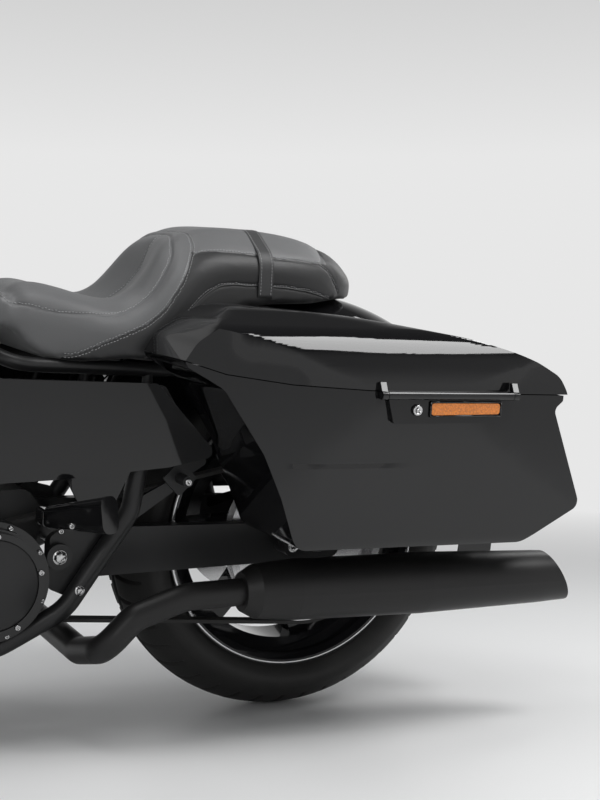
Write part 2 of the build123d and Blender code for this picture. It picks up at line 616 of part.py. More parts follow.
def passenger_pegs():
    """A bracket on each pivot plate, and a broad peg folded up and back."""
    way = (-0.42, 0.9, 0.18)
    plate_face = ARM_Y + ARM_W + 8
    return pair(slab([(505, 376), (505, 404), (412, 388), (412, 366)], 5, plate_face, 168)
                + slab([(505, 376), (505, 404), (462, 396), (462, 384)], 5, 168, 196)
                + loft([Plane((492, 194, 392), z_dir=way) * RectangleRounded(24, 34, 8),
                        Plane((436, 314, 416), z_dir=way) * RectangleRounded(34, 58, 14)]))


def engine_guard():
    loop = tube([(1178, RAIL_Y - 2, 270), (1190, 330, 268), (1200, 392, 330), (1214, 392, 520),
                 (1236, 300, 610), (1262, 70, 628)], [40, 60, 60, 80], 16)
    return pair(loop)


def foot_controls():
    shaft = rod((1040, RAIL_Y + 6, 272), (1040, 228, 272), 8)
    lever = tube([(890, 222, 342), (1000, 222, 264), (1074, 222, 264), (1170, 222, 330)], [40, 40], 6)
    toe = rod((1166, 218, 330), (1166, 262, 330), 10)
    heel = rod((894, 218, 341), (894, 262, 341), 10)
    bracket = slab([(1029, RAIL_Z), (1049, RAIL_Z), (1047, 281), (1032, 281)], 4, RAIL_Y + 6, RAIL_Y + 18)
    return pair(shaft + bracket + lever + toe) + heel


def rear_caliper():
    body = slab([(-150, 350), (-150, 420), (-60, 440), (-60, 396)], 12, -140, -72)
    slot = disc(REAR, DISC_R + 6, -REAR_HUB_Y - 18, -REAR_HUB_Y - 8)
    carrier = slab([(90, 340), (90, 358), (0, 380), (-60, 436), (-150, 416), (-150, 352), (-60, 352),
                    (-36, 368), (0, 371), (40, 354)], 4, -ARM_Y, -ARM_Y + 6)
    return body - slot + carrier


# ---- steering -----------------------------------------------------------------------
SLIDER_R, STANCHION_R = 33.0, 24.5
SLIDER_TOP = 400.0


def fork_sliders():
    leg = rod(on_fork(-34, FORK_Y), on_fork(SLIDER_TOP, FORK_Y), SLIDER_R)
    return pair(leg) - disc(FRONT_AXLE, AXLE_R, -200, 200)


def fork_tubes():
    leg = rod(on_fork(SLIDER_TOP, FORK_Y), on_fork(UPPER_YOKE + 20, FORK_Y), STANCHION_R)
    return pair(leg)


YOKE_MIDDLE = -6.0      # middle of each yoke's plate, ahead of the legs


def yokes():
    """Both yokes and the stem that turns in the steering head."""
    plates = []
    for low, high, half in ((LOWER_YOKE - 18, LOWER_YOKE + 18, 35), (UPPER_YOKE - 12, UPPER_YOKE + 12, 34)):
        seat_plane = Plane(origin=on_fork(low, 0, YOKE_MIDDLE), z_dir=Vector(UP_X, 0, UP_Z),
                           x_dir=Vector(UP_Z, 0, -UP_X))
        plates += [extrude(seat_plane * RectangleRounded(half * 2, 2 * FORK_Y + 76, 30), amount=high - low)]
    stem = rod(on_fork(LOWER_YOKE, 0, -FORK_OFFSET), on_fork(UPPER_YOKE + 30, 0, -FORK_OFFSET), STEM_R)
    risers = [rod(on_fork(UPPER_YOKE + 12, y, -2), (BAR_AT[0], y, BAR_AT[1]), 15) for y in (-52, 52)]
    legs = pair(rod(on_fork(LOWER_YOKE - 40, FORK_Y), on_fork(UPPER_YOKE + 40, FORK_Y), STANCHION_R))
    grip = rod((BAR_AT[0], -70, BAR_AT[1]), (BAR_AT[0], 70, BAR_AT[1]), BAR_R)
    clamps = [rod((BAR_AT[0], y - 14, BAR_AT[1]), (BAR_AT[0], y + 14, BAR_AT[1]), 24) for y in (-52, 52)]
    return plates[0] + plates[1] + stem + risers + clamps - legs - grip


BAR_R, GRIP_R = 12.7, 17.5
BAR_AT = (NOSE_X - 12, 978.0)
BAR_END = (NOSE_X - 270, 428.0, 1012.0)
BAR_BEND = (NOSE_X - 38, 236.0, 1032.0)


def handlebar():
    half = tube([(BAR_AT[0], 0, BAR_AT[1]), (BAR_AT[0], 118, BAR_AT[1]), BAR_BEND, BAR_END], [60, 70], BAR_R)
    return half + mirrored(half)


def along_bar(share, radius, length):
    """A sleeve round the outer run of the bar, ending a share of the way to its end."""
    a, b = Vector(*BAR_BEND), Vector(*BAR_END)
    end = a + (b - a) * share
    start = end - (b - a).normalized() * length
    return rod(tuple(start), tuple(end), radius) - rod(tuple(start), tuple(end), BAR_R)


def grips():
    end = rod(BAR_END, tuple(Vector(*BAR_END) + (Vector(*BAR_END) - Vector(*BAR_BEND)).normalized() * 8), 19)
    return pair(along_bar(1.0, GRIP_R, 126) + end)


def controls():
    """Switch pods, levers and their fluid reservoirs."""
    pod = along_bar(0.56, 24, 58)
    a, b = Vector(*BAR_BEND), Vector(*BAR_END)
    way = (b - a).normalized()
    root = a + (b - a) * 0.50
    perch = rod(tuple(root + Vector(20, 0, 0)), tuple(root + Vector(52, 14, 0)), 12)
    blade = rod(tuple(root + Vector(50, 12, 0)), tuple(root + Vector(50, 30, -4) + way * 168), 7)
    tank = rod(tuple(root + Vector(40, 6, 8)), tuple(root + Vector(40, 6, 40)), 22)
    return pair(pod + perch + blade + tank)


def mirrors():
    a, b = Vector(*BAR_BEND), Vector(*BAR_END)
    root = a + (b - a) * 0.50 + Vector(40, 6, 40)
    head = (root.X - 20, root.Y + 66, root.Z + 150)
    stem = tube([tuple(root), (root.X, root.Y + 20, root.Z + 90), head], [40], 5.5)
    shell = Pos(*head) * Rot(0, 80, 0) * extrude(RectangleRounded(84, 150, 34), amount=24)
    return pair(stem + shell)


def front_axle():
    reach = FORK_Y + 26
    shaft = disc(FRONT_AXLE, AXLE_R, -reach - 12, reach + 12)
    nuts = [disc(FRONT_AXLE, 18, reach + 7, reach + 12), disc(FRONT_AXLE, 18, -reach - 12, -reach - 7)]
    return shaft + nuts


def front_fender():
    r, y, t = FRONT_FENDER_R, FRONT_FENDER_Y, SHEET
    edges = [ThreePointArc((r - 30, y), (r, 0), (r - 30, -y)), Line((r - 30, -y), (r - 70, -y)),
             Line((r - 70, -y), (r - 70, t - y)), Line((r - 70, t - y), (r - 30, t - y)),
             ThreePointArc((r - 30, t - y), (r - t, 0), (r - 30, y - t)),
             Line((r - 30, y - t), (r - 70, y - t)), Line((r - 70, y - t), (r - 70, y)),
             Line((r - 70, y), (r - 30, y))]
    ring = revolve(make_face(edges), axis=Axis.Y, revolution_arc=150)
    shell = Pos(FRONT_AXLE[0], 0, FRONT_AXLE[1]) * Rot(0, -178, 0) * ring
    lug = rod(on_fork(310, y - 1), on_fork(310, FORK_Y - SLIDER_R), 14)
    tab = rod(on_fork(310, y - 1), on_fork(310, FORK_Y - SLIDER_R + 6), 14)
    return shell + pair(tab - rod(on_fork(200, FORK_Y), on_fork(SLIDER_TOP, FORK_Y), SLIDER_R)) + pair(lug)


def front_calipers():
    inner, outer = FRONT_HUB_Y - 12, FORK_Y + 6
    body = slab([(FRONT_AXLE[0] - 133, 330), (FRONT_AXLE[0] - 133, 420), (FRONT_AXLE[0] - 77, 420),
                 (FRONT_AXLE[0] - 77, 330)], 14, inner, outer)
    slot = disc(FRONT_AXLE, DISC_R + 6, FRONT_HUB_Y, FRONT_HUB_Y + 4 + DISC_T)
    leg = rod(on_fork(-34, FORK_Y), on_fork(SLIDER_TOP, FORK_Y), SLIDER_R)
    return pair(body - slot - leg)


# ---- fairing ------------------------------------------------------------------------
LAMP_Z, LAMP_R = 905.0, 88.0


def fairing_block(shrink):
    """The fairing as what is common to its side, front and plan outlines, all shrunk alike."""
    d = shrink
    side = slab([(-64, 1062), (30, 1118 - d), (170, 1064 - d), (266 - d, 950),
                 (260 - d, 850 + d), (170, 800 + d), (0, 838 + d), (-64, 880 + d)],
                [20, 60, 120, 50, 40, 60, 40, 10], -500, 500)
    front = bar([(-396 + d, 930 + d), (-404 + d, 1006), (-330, 1060 - d), (-120, 1110 - d), (120, 1110 - d),
                 (330, 1060 - d), (404 - d, 1006), (396 - d, 930 + d), (180, 850 + d), (130, 806 + d),
                 (-130, 806 + d), (-180, 850 + d)],
                [30, 40, 60, 80, 80, 60, 40, 30, 60, 30, 30, 60], -200, 400)
    plan = deck([(-150, 408 - d), (-10, 398 - d), (200 - d, 230), (266 - d, 90), (266 - d, -90),
                 (200 - d, -230), (-10, d - 398), (-150, d - 408)],
                [4, 120, 90, 60, 60, 90, 120, 4], 700, 1200)
    return side & front & plan


def fork_window():
    """The room that the fork and the steering head need behind the headlamp."""
    return deck([(-200, -176), (124, -176), (124, 176), (-200, 176)], 10, 760, 962)


def fairing():
    outer, inner = fairing_block(0), fairing_block(WALL)
    hole = rod((100, 0, LAMP_Z), (300, 0, LAMP_Z), LAMP_R)
    return outer - inner - hole - fork_window()


def fairing_bracket():
    """A cross plate clamped to the fork tubes, with arms that carry the headlamp."""
    plate = bar([(-142, 872), (142, 872), (142, 908), (-142, 908)], 8, 74, 86)
    arm = slab([(84, 880), (84, 900), (168, 900), (168, 880)], 1, 50, 58)
    return plate + pair(arm)


def headlamp():
    shell = rod((168, 0, LAMP_Z), (252, 0, LAMP_Z), LAMP_R)
    rim_ring = rod((252, 0, LAMP_Z), (272, 0, LAMP_Z), LAMP_R - 4)
    return shell + rim_ring - rod((256, 0, LAMP_Z), (280, 0, LAMP_Z), LAMP_R - 12)


def windscreen():
    """A curved sheet that leans back from the fairing's top edge."""
    arc_out = ThreePointArc((-10, 250), (140, 0), (-10, -250))
    arc_in = ThreePointArc((-14, -248), (136, 0), (-14, 248))
    face = make_face([arc_out, Line((-10, -250), (-14, -248)), arc_in, Line((-14, 248), (-10, 250))])
    sheet = extrude(Plane.XY.offset(1040) * face, amount=330, dir=Vector(-0.55, 0, 0.84))
    trim = bar([(-300, 1020), (-240, 1240), (-110, 1300), (110, 1300), (240, 1240), (300, 1020)],
               [1, 70, 90, 90, 70, 1], -400, 300)
    return (sheet & trim) - fairing_block(0) - fairing_block(-0.1)


def gauges():
    """The inner panel across the fairing, with two round instruments."""
    panel = fairing_block(WALL) & deck([(40, -450), (48, -450), (48, 450), (40, 450)], 0.1, 700, 1200)
    panel -= fork_window()
    pods = [rod((42, y, 1030), (22, y, 1036), 42) for y in (-52, 52)]
    return panel + pods


def front_signals():
    stalk = rod(on_fork(LOWER_YOKE, FORK_Y + 30), (NOSE_X + 72, 212, 792), 9)
    lamp = rod((NOSE_X + 50, 222, 792), (NOSE_X + 96, 222, 792), 30)
    return pair(stalk + lamp)


# ---- side stand ---------------------------------------------------------------------
def ground_at(x, y):
    """The floor's height under a point of the leaned machine, on upright axes."""
    return y * tan(radians(LEAN)) - GROUND_DROP / cos(radians(LEAN))


def stand_axis():
    """Fold axis: square to the leg when it is out and when it is tucked back."""
    out = Vector(STAND_FOOT[0] - STAND[0], STAND_FOOT[1] - STAND[1],
                 ground_at(*STAND_FOOT) + FOOT_T - STAND[2]).normalized()
    back = Vector(-0.985, 0.17, 0.0).normalized()
    return out.cross(back).normalized()


def side_stand():
    foot_z = ground_at(*STAND_FOOT)
    up = Vector(0, -sin(radians(LEAN)), cos(radians(LEAN)))
    heel = Vector(STAND_FOOT[0], STAND_FOOT[1], foot_z)
    base = (Align.CENTER, Align.CENTER, Align.MIN)
    sole = Plane(origin=heel, z_dir=up) * Cylinder(FOOT_R, FOOT_T, align=base)
    leg = rod(STAND, tuple(heel + up * (FOOT_T - 1)), STAND_R)
    axis = stand_axis()
    boss = rod(tuple(Vector(*STAND) - axis * 12), tuple(Vector(*STAND) + axis * 12), 19)
    bore = rod(tuple(Vector(*STAND) - axis * 20), tuple(Vector(*STAND) + axis * 20), 8 + RUN)
    return sole + leg + boss - bore


def stand_bracket():
    """The lug under the left cradle tube, with the pin that the stand folds on."""
    axis = stand_axis()
    base = Vector(*STAND)
    pin = rod(tuple(base - axis * 14), tuple(base + axis * 14), 8)
    cap = rod(tuple(base + axis * 13), tuple(base + axis * 21), 19)
    web = slab([(STAND[0] - 20, RAIL_Z - 6), (STAND[0] + 20, RAIL_Z - 6), (STAND[0] + 20, RAIL_Z + 8),
                (STAND[0] - 20, RAIL_Z + 8)], 4, RAIL_Y, STAND[1] + 16)
    return web - rod(tuple(base - axis * 30), tuple(base + axis * 13), 21.5) + cap + pin


# ---- assembly -----------------------------------------------------------------------
def both_sides(name, build):
    left = build()
    return {name + "_left": left, name + "_right": mirrored(left)}


def pieces():
    """Every piece by name, on the upright machine."""
    group = {
        "frame_spine": frame_spine(), "frame_cradle": frame_cradle(), "swingarm": swingarm(),
        "rear_axle": rear_axle(), "shocks": pair(shock()), "drive_belt": drive_belt(),
        "rear_fender": rear_fender(), "engine_block": engine_block(), "cylinders": cylinders(),
        "rocker_covers": rocker_covers(), "primary_cover": primary_cover(), "cam_cover": cam_cover(),
        "air_cleaner": air_cleaner(), "exhaust_pipes": exhaust_pipes(), "fuel_tank": fuel_tank(),
        "tank_cap": tank_cap(), "seat": seat(), "seat_strap": seat_strap(),
        "hinge_trims": pair(hinge_trim()), "reflectors": pair(reflector()),
        "bag_supports": bag_supports(), "tail_lamp": tail_lamp(), "plate_bracket": plate_bracket(),
        "rear_signals": rear_signals(), "footboards": footboards(), "passenger_pegs": passenger_pegs(),
        "engine_guard": engine_guard(), "foot_controls": foot_controls(), "rear_caliper": rear_caliper(),
        "fork_sliders": fork_sliders(), "fork_tubes": fork_tubes(), "yokes": yokes(),
        "handlebar": handlebar(), "grips": grips(), "controls": controls(), "mirrors": mirrors(),
        "front_axle": front_axle(), "front_fender": front_fender(), "front_calipers": front_calipers(),
        "fairing": on_nose(fairing()), "fairing_bracket": on_nose(fairing_bracket()),
        "headlamp": on_nose(headlamp()), "windscreen": on_nose(windscreen()),
        "gauges": on_nose(gauges()), "front_signals": front_signals(),
        "rear_tyre": tyre(REAR_TYRE_R, REAR_TYRE_W, REAR_RIM_R, CROWN_REAR, REAR),
        "rear_rim": rim(REAR_RIM_R, REAR_TYRE_W, REAR_HUB_R, REAR_HUB_Y, REAR),
        "rear_pulley": rear_pulley(), "rear_disc": rear_disc(),
        "front_tyre": tyre(FRONT_TYRE_R, FRONT_TYRE_W, FRONT_RIM_R, CROWN_FRONT, FRONT_AXLE),
        "front_rim": rim(FRONT_RIM_R, FRONT_TYRE_W, FRONT_HUB_R, FRONT_HUB_Y, FRONT_AXLE),
        "front_discs": front_discs(), "side_stand": side_stand(),
        "mufflers": pair(muffler()), "side_covers": pair(side_cover()),
    }
    group |= both_sides("saddlebag", saddlebag)
    group |= both_sides("lid", lid)
    group["seat"] -= fender_solid()
    for name, fitted_to in FITTED:
        rest = group[name] - group[fitted_to]
        group[name] = Compound([solid for solid in rest.solids() if solid.volume > CRUMB])
    return group


CRUMB = 500         # a grazing cut leaves slivers, and any solid under this volume is dropped
# each first piece is cut to the form of the second, which it sits on or passes
FITTED = [
    ("frame_cradle", "frame_spine"), ("seat", "fuel_tank"), ("seat", "frame_spine"),
    ("tank_cap", "fuel_tank"), ("bag_supports", "frame_cradle"), ("engine_guard", "frame_cradle"),
    ("footboards", "frame_cradle"), ("foot_controls", "frame_cradle"), ("exhaust_pipes", "cylinders"),
    ("exhaust_pipes", "mufflers"), ("controls", "handlebar"), ("mirrors", "controls"),
    ("front_signals", "yokes"), ("fairing_bracket", "fork_tubes"), ("passenger_pegs", "frame_cradle"),
    ("side_covers", "frame_cradle"), ("bag_supports", "frame_spine"), ("air_cleaner", "cylinders"),
]


def leaned(shape):
    """Lean the upright machine to the left and stand it on the floor."""
    return Pos(0, 0, GROUND_DROP) * Rot(-LEAN, 0, 0) * shape


def main():
    os.makedirs("parts", exist_ok=True)
    placed = {name: leaned(shape) for name, shape in pieces().items()}
    boxes = [shape.bounding_box() for shape in placed.values()]
    middle_x = (min(b.min.X for b in boxes) + max(b.max.X for b in boxes)) / 2
    middle_y = (min(b.min.Y for b in boxes) + max(b.max.Y for b in boxes)) / 2
    for name, shape in placed.items():
        export_step(Pos(-middle_x, -middle_y, 0) * shape, f"parts/{name}.step")
    print(f"middle {middle_x:.3f} {middle_y:.3f}")


if __name__ == "__main__":
    main()
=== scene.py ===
from math import cos, pi, radians, sin, sqrt

import bmesh
import bpy
import numpy as np
from mathutils import Matrix, Vector
from mathutils.bvhtree import BVHTree
from mathutils.kdtree import KDTree


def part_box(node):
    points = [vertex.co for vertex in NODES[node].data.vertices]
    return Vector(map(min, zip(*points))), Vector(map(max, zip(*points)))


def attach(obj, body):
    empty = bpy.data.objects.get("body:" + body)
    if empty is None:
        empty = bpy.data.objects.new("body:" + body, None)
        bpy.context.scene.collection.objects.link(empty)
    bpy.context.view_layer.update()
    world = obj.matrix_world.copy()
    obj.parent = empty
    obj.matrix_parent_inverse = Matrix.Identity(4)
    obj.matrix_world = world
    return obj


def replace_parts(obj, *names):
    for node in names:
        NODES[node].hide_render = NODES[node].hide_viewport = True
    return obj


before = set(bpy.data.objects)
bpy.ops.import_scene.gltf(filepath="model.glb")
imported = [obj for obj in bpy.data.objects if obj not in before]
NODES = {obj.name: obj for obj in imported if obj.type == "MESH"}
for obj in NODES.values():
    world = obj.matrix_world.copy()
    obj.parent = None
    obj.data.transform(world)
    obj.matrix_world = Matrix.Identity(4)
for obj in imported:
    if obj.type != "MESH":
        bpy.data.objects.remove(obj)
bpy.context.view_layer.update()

# ---- places on the machine ----------------------------------------------------------
# x is forward of the rear axle, y to the rider's left of the middle and z up from the
# floor, in millimetres on the upright machine, which leans onto its side stand.
LEAN = Matrix.Rotation(radians(-7), 3, "X")
REAR_R = 328.0
BOTH_SIDES = (1, -1)
REAR_HUB = sum(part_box("rear_tyre"), Vector()) / 2
FRONT_HUB = sum(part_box("front_tyre"), Vector()) / 2


def toward(x, y, z):
    """A direction on the upright machine, as a unit vector of the row."""
    return (LEAN @ Vector((x, y, z))).normalized()


# ---- finishes: the tools ------------------------------------------------------------
class Value:
    """What one node gives out. Arithmetic on it adds Math nodes."""

    def __init__(self, nodes, socket):
        self.nodes, self.socket = nodes, socket

    def math(self, operation, *terms):
        return self.nodes.math(operation, *terms)

    def __add__(self, other):
        return self.math("ADD", self, other)

    def __radd__(self, other):
        return self.math("ADD", other, self)

    def __sub__(self, other):
        return self.math("SUBTRACT", self, other)

    def __rsub__(self, other):
        return self.math("SUBTRACT", other, self)

    def __mul__(self, other):
        return self.math("MULTIPLY", self, other)

    def __rmul__(self, other):
        return self.math("MULTIPLY", other, self)

    def __gt__(self, other):
        return self.math("GREATER_THAN", self, other)


class Nodes:
    """A node tree and the calls that add nodes to it."""

    def __init__(self, owner):
        owner.use_nodes = True
        self.tree = owner.node_tree

    def node(self, kind, settings=None, values=(), out=0):
        """A node of that type: its settings, then the values or links of its sockets."""
        made = self.tree.nodes.new(kind)
        for key, value in (settings or {}).items():
            if key == "stops":
                self.ramp_stops(made.color_ramp, value)
            else:
                setattr(made, key, value)
        pairs = values.items() if isinstance(values, dict) else enumerate(values)
        for key, value in pairs:
            self.join(value, made.inputs[key])
        return Value(self, made.outputs[out])

    def math(self, operation, *terms):
        return self.node("ShaderNodeMath", {"operation": operation}, terms)

    def ramp_stops(self, ramp, stops):
        while len(ramp.elements) < len(stops):
            ramp.elements.new(1)
        for element, (place, level) in zip(ramp.elements, stops):
            element.position = place
            element.color = (level, level, level, 1)

    def join(self, value, socket):
        if isinstance(value, Value):
            self.tree.links.new(value.socket, socket)
        elif socket.type == "RGBA" and len(value) == 3:
            socket.default_value = (*value, 1)
        else:
            socket.default_value = value

    def ramp(self, value, *stops):
        return self.node("ShaderNodeValToRGB", {"stops": stops}, [value])

    def blend(self, factor, first, second):
        """From the first shader to the second."""
        return self.node("ShaderNodeMixShader", None, [factor, first, second])

    def show(self, shader, output):
        """What the tree's output node shows."""
        self.join(shader, self.tree.nodes[output].inputs["Surface"])


class Finish(Nodes):
    """One finish: a material and its Principled shader."""

    def __init__(self, name):
        self.material = bpy.data.materials.new(name)
        super().__init__(self.material)
        self.shader = self.tree.nodes["Principled BSDF"]

    def place(self):
        """Where the surface is, in metres of the row."""
        return self.node("ShaderNodeTexCoord", out="Object")

    def along(self, direction):
        """How far along a direction of the row the surface is, in metres."""
        settings = {"operation": "DOT_PRODUCT"}
        return self.node("ShaderNodeVectorMath", settings, [self.place(), direction], "Value")

    def noise(self, size, detail=2.0, roughness=0.5, stretch=(1, 1, 1)):
        """Soft noise with features of that size in millimetres, from 0 to 1."""
        spread = self.node("ShaderNodeVectorMath", {"operation": "MULTIPLY"}, [self.place(), stretch])
        return self.node("ShaderNodeTexNoise", None, {
            "Vector": spread, "Scale": 1000 / size, "Detail": detail, "Roughness": roughness})

    def cells(self, size):
        """Distance to the nearest cell point, for grain and pebbling."""
        sockets = {"Vector": self.place(), "Scale": 1000 / size}
        return self.node("ShaderNodeTexVoronoi", None, sockets, "Distance")

    def mix(self, factor, first, second):
        """From the first colour to the second."""
        return self.node("ShaderNodeMix", {"data_type": "RGBA"}, {0: factor, 6: first, 7: second}, 2)

    def relief(self, height, depth):
        """A bump of that depth in millimetres."""
        bump = self.node("ShaderNodeBump", None, {"Height": height, "Distance": depth / 1000})
        self.join(bump, self.shader.inputs["Normal"])

    def surface(self, **sockets):
        """Principled sockets by name, with _ for a space."""
        for name, value in sockets.items():
            self.join(value, self.shader.inputs[name.replace("_", " ")])
        return self.material


# ---- finishes -----------------------------------------------------------------------
def deep_gloss_black(name="deep_gloss_black", base=0.0035):
    """Black base coat under clear lacquer, with faint peel and polishing haze."""
    f = Finish(name)
    haze = f.noise(240, 3)
    f.relief(f.noise(7, 1), 0.004)
    return f.surface(
        Base_Color=f.mix(haze, (base, base, base * 1.1), (base * 1.7, base * 1.7, base * 1.9)),
        Roughness=0.035 + 0.03 * haze)


def bag_gloss_black():
    """The same lacquer over the long soft crease pressed into each saddlebag's side."""
    f = Finish("bag_gloss_black")
    haze = f.noise(240, 3)
    height = f.along(toward(0, 0, 1)) - REAR_HUB.dot(toward(0, 0, 1))
    length = f.along(toward(1, 0, 0)) - REAR_HUB.x
    crease = f.ramp(height, (0.09, 0), (0.172, 1), (0.180, 0))
    fade = f.ramp(length + 0.2, (0.15, 0), (0.27, 1), (0.345, 1), (0.395, 0))
    f.relief(crease * fade + f.noise(7, 1) * 0.0012, 3.4)
    return f.surface(
        Base_Color=f.mix(haze, (0.0035, 0.0035, 0.0039), (0.006, 0.006, 0.0067)),
        Roughness=0.035 + 0.03 * haze)


def satin_black():
    """Powder coat: fine even texture."""
    f = Finish("satin_black_coat")
    grain = f.noise(0.9, 2)
    wear = f.noise(60, 3)
    f.relief(grain, 0.02)
    return f.surface(
        Base_Color=f.mix(wear, (0.012, 0.012, 0.0126), (0.018, 0.018, 0.0186)),
        Roughness=0.32 + 0.08 * wear, Specular_IOR_Level=0.38)


def hot_black():
    """Heat-proof matte black on pipes and mufflers, a little browner along its run."""
    f = Finish("heat_proof_black")
    grain, blotch = f.noise(1.1, 2), f.noise(85, 4)
    f.relief(grain, 0.02)
    return f.surface(
        Base_Color=f.mix(blotch, (0.0075, 0.0075, 0.008), (0.0125, 0.0118, 0.0115)),
        Roughness=0.36 + 0.10 * blotch, Specular_IOR_Level=0.34)


def wrinkle_black():
    """Wrinkle-finish engine paint."""
    f = Finish("wrinkle_black")
    folds = f.cells(1.6)
    tone = f.noise(30, 3)
    f.relief(folds, 0.12)
    return f.surface(
        Base_Color=f.mix(tone, (0.010, 0.010, 0.0105), (0.019, 0.019, 0.019)),
        Roughness=0.48 + 0.1 * tone)


def engine_gloss():
    """Gloss black on engine covers, over cast metal that shows faintly."""
    f = Finish("engine_gloss_black")
    cast = f.noise(9, 3)
    f.relief(cast, 0.03)
    return f.surface(
        Base_Color=f.mix(cast, (0.004, 0.004, 0.0045), (0.008, 0.008, 0.0085)),
        Roughness=0.07 + 0.05 * cast)


def moulded_black():
    """Grained moulded plastic."""
    f = Finish("moulded_black")
    grain = f.cells(1.3)
    tone = f.noise(40, 2)
    f.relief(grain, 0.05)
    return f.surface(
        Base_Color=f.mix(tone, (0.012, 0.012, 0.0125), (0.018, 0.018, 0.019)),
        Roughness=0.50 + 0.06 * tone)


def rubber_black():
    f = Finish("black_rubber")
    bloom, dust = f.noise(26, 4), f.noise(2.4, 3)
    f.relief(dust, 0.05)
    return f.surface(
        Base_Color=f.mix(bloom, (0.011, 0.011, 0.011), (0.024, 0.023, 0.022)),
        Roughness=0.62 + 0.12 * dust)


def polished_steel():
    f = Finish("polished_steel")
    marks = f.noise(6, 4, 0.6, (1, 1, 8))
    f.relief(marks, 0.01)
    return f.surface(
        Base_Color=f.mix(marks, (0.5332, 0.5332, 0.5332), (0.62, 0.62, 0.6262)),
        Metallic=1.0, Roughness=0.16 + 0.1 * marks)


def machined_alloy():
    """Turned aluminium with fine tool lines."""
    f = Finish("machined_alloy")
    lines = f.noise(0.5, 1, 0.5, (1, 6, 1))
    tone = f.noise(50, 3)
    f.relief(lines, 0.01)
    return f.surface(
        Base_Color=f.mix(tone, (0.60, 0.60, 0.61), (0.74, 0.74, 0.75)),
        Metallic=1.0, Roughness=0.20 + 0.1 * lines)


def blank_plate():
    """White enamel with a faint mottle."""
    f = Finish("blank_plate_enamel")
    tone = f.noise(30, 2)
    return f.surface(
        Base_Color=f.mix(tone, (0.62, 0.62, 0.61), (0.68, 0.68, 0.67)), Roughness=0.32 + 0.1 * tone)


def lens(name, colour):
    """Coloured lens plastic, prismed inside."""
    f = Finish(name)
    prisms = f.cells(3.2)
    f.relief(prisms, 0.25)
    dark = tuple(c * 0.55 for c in colour)
    return f.surface(
        Base_Color=f.mix(prisms, colour, dark), Roughness=0.05 + 0.04 * prisms,
        Coat_Weight=1.0, Coat_Roughness=0.02)


def clear_lens():
    f = Finish("clear_lens")
    flutes = f.noise(14, 1)
    f.relief(flutes, 0.1)
    return f.surface(
        Base_Color=f.mix(flutes, (0.80, 0.83, 0.85), (0.93, 0.95, 0.96)),
        Roughness=0.04 + 0.02 * flutes, Transmission_Weight=0.85, IOR=1.49)


def smoked_screen():
    f = Finish("smoked_screen")
    haze = f.noise(120, 2)
    return f.surface(
        Base_Color=f.mix(haze, (0.10, 0.105, 0.11), (0.14, 0.145, 0.15)),
        Roughness=0.03 + 0.02 * haze, Transmission_Weight=0.9, IOR=1.49)


def seat_leather():
    """Pebbled leather: pale grey wearing panels on top, their pale tone partly the leather's two-tone and
    partly painted sheen of the overhead light, dark grey sides and a black skirt.
    """
    f = Finish("seat_leather")
    pebble, crease, drift = f.cells(1.5), f.noise(5, 4), f.noise(90, 3)
    f.relief(pebble * 0.7 + crease * 0.5, 0.14)
    light = f.node("ShaderNodeAttribute", {"attribute_name": "light_panel"}, out="Fac")
    skirt = f.node("ShaderNodeAttribute", {"attribute_name": "skirt"}, out="Fac")
    tone = f.mix(drift, (0.015, 0.015, 0.0155), (0.020, 0.020, 0.021))
    # painted sheen: the top panels' pale grey is partly two-tone leather and partly painted highlight from
    # the overhead light
    tone = f.mix(light > 0, tone, f.mix(drift, (0.105, 0.106, 0.108), (0.130, 0.131, 0.133)))
    tone = f.mix(skirt > 0, tone, (0.0065, 0.0065, 0.007))
    return f.surface(
        Base_Color=tone, Roughness=0.42 + 0.14 * pebble, Sheen_Weight=0.1, Sheen_Roughness=0.45)


def strap_leather():
    f = Finish("strap_leather")
    pebble, drift = f.cells(1.5), f.noise(60, 3)
    f.relief(pebble, 0.12)
    return f.surface(
        Base_Color=f.mix(drift, (0.030, 0.030, 0.031), (0.042, 0.042, 0.043)),
        Roughness=0.44 + 0.12 * pebble, Sheen_Weight=0.1, Sheen_Roughness=0.45)


def seat_thread():
    """Pale grey bonded thread, twisted."""
    f = Finish("seat_thread")
    twist = f.noise(0.5, 1)
    f.relief(twist, 0.05)
    return f.surface(
        Base_Color=f.mix(twist, (0.30, 0.30, 0.305), (0.42, 0.42, 0.425)),
        Roughness=0.55 + 0.1 * twist)


GLOSS = deep_gloss_black()
BAG_GLOSS = bag_gloss_black()
SATIN = satin_black()
HOT = hot_black()
WRINKLE = wrinkle_black()
ENGINE = engine_gloss()
MOULDED = moulded_black()
RUBBER = rubber_black()
STEEL = polished_steel()
ALLOY = machined_alloy()
PLATE = blank_plate()
AMBER = lens("amber_lens", (0.85, 0.24, 0.015))
RED = lens("red_lens", (0.42, 0.008, 0.006))
CLEAR = clear_lens()
SMOKED = smoked_screen()
WHEEL = deep_gloss_black("wheel_gloss_black", 0.006)
LEATHER = seat_leather()
STRAP_LEATHER = strap_leather()
THREAD = seat_thread()

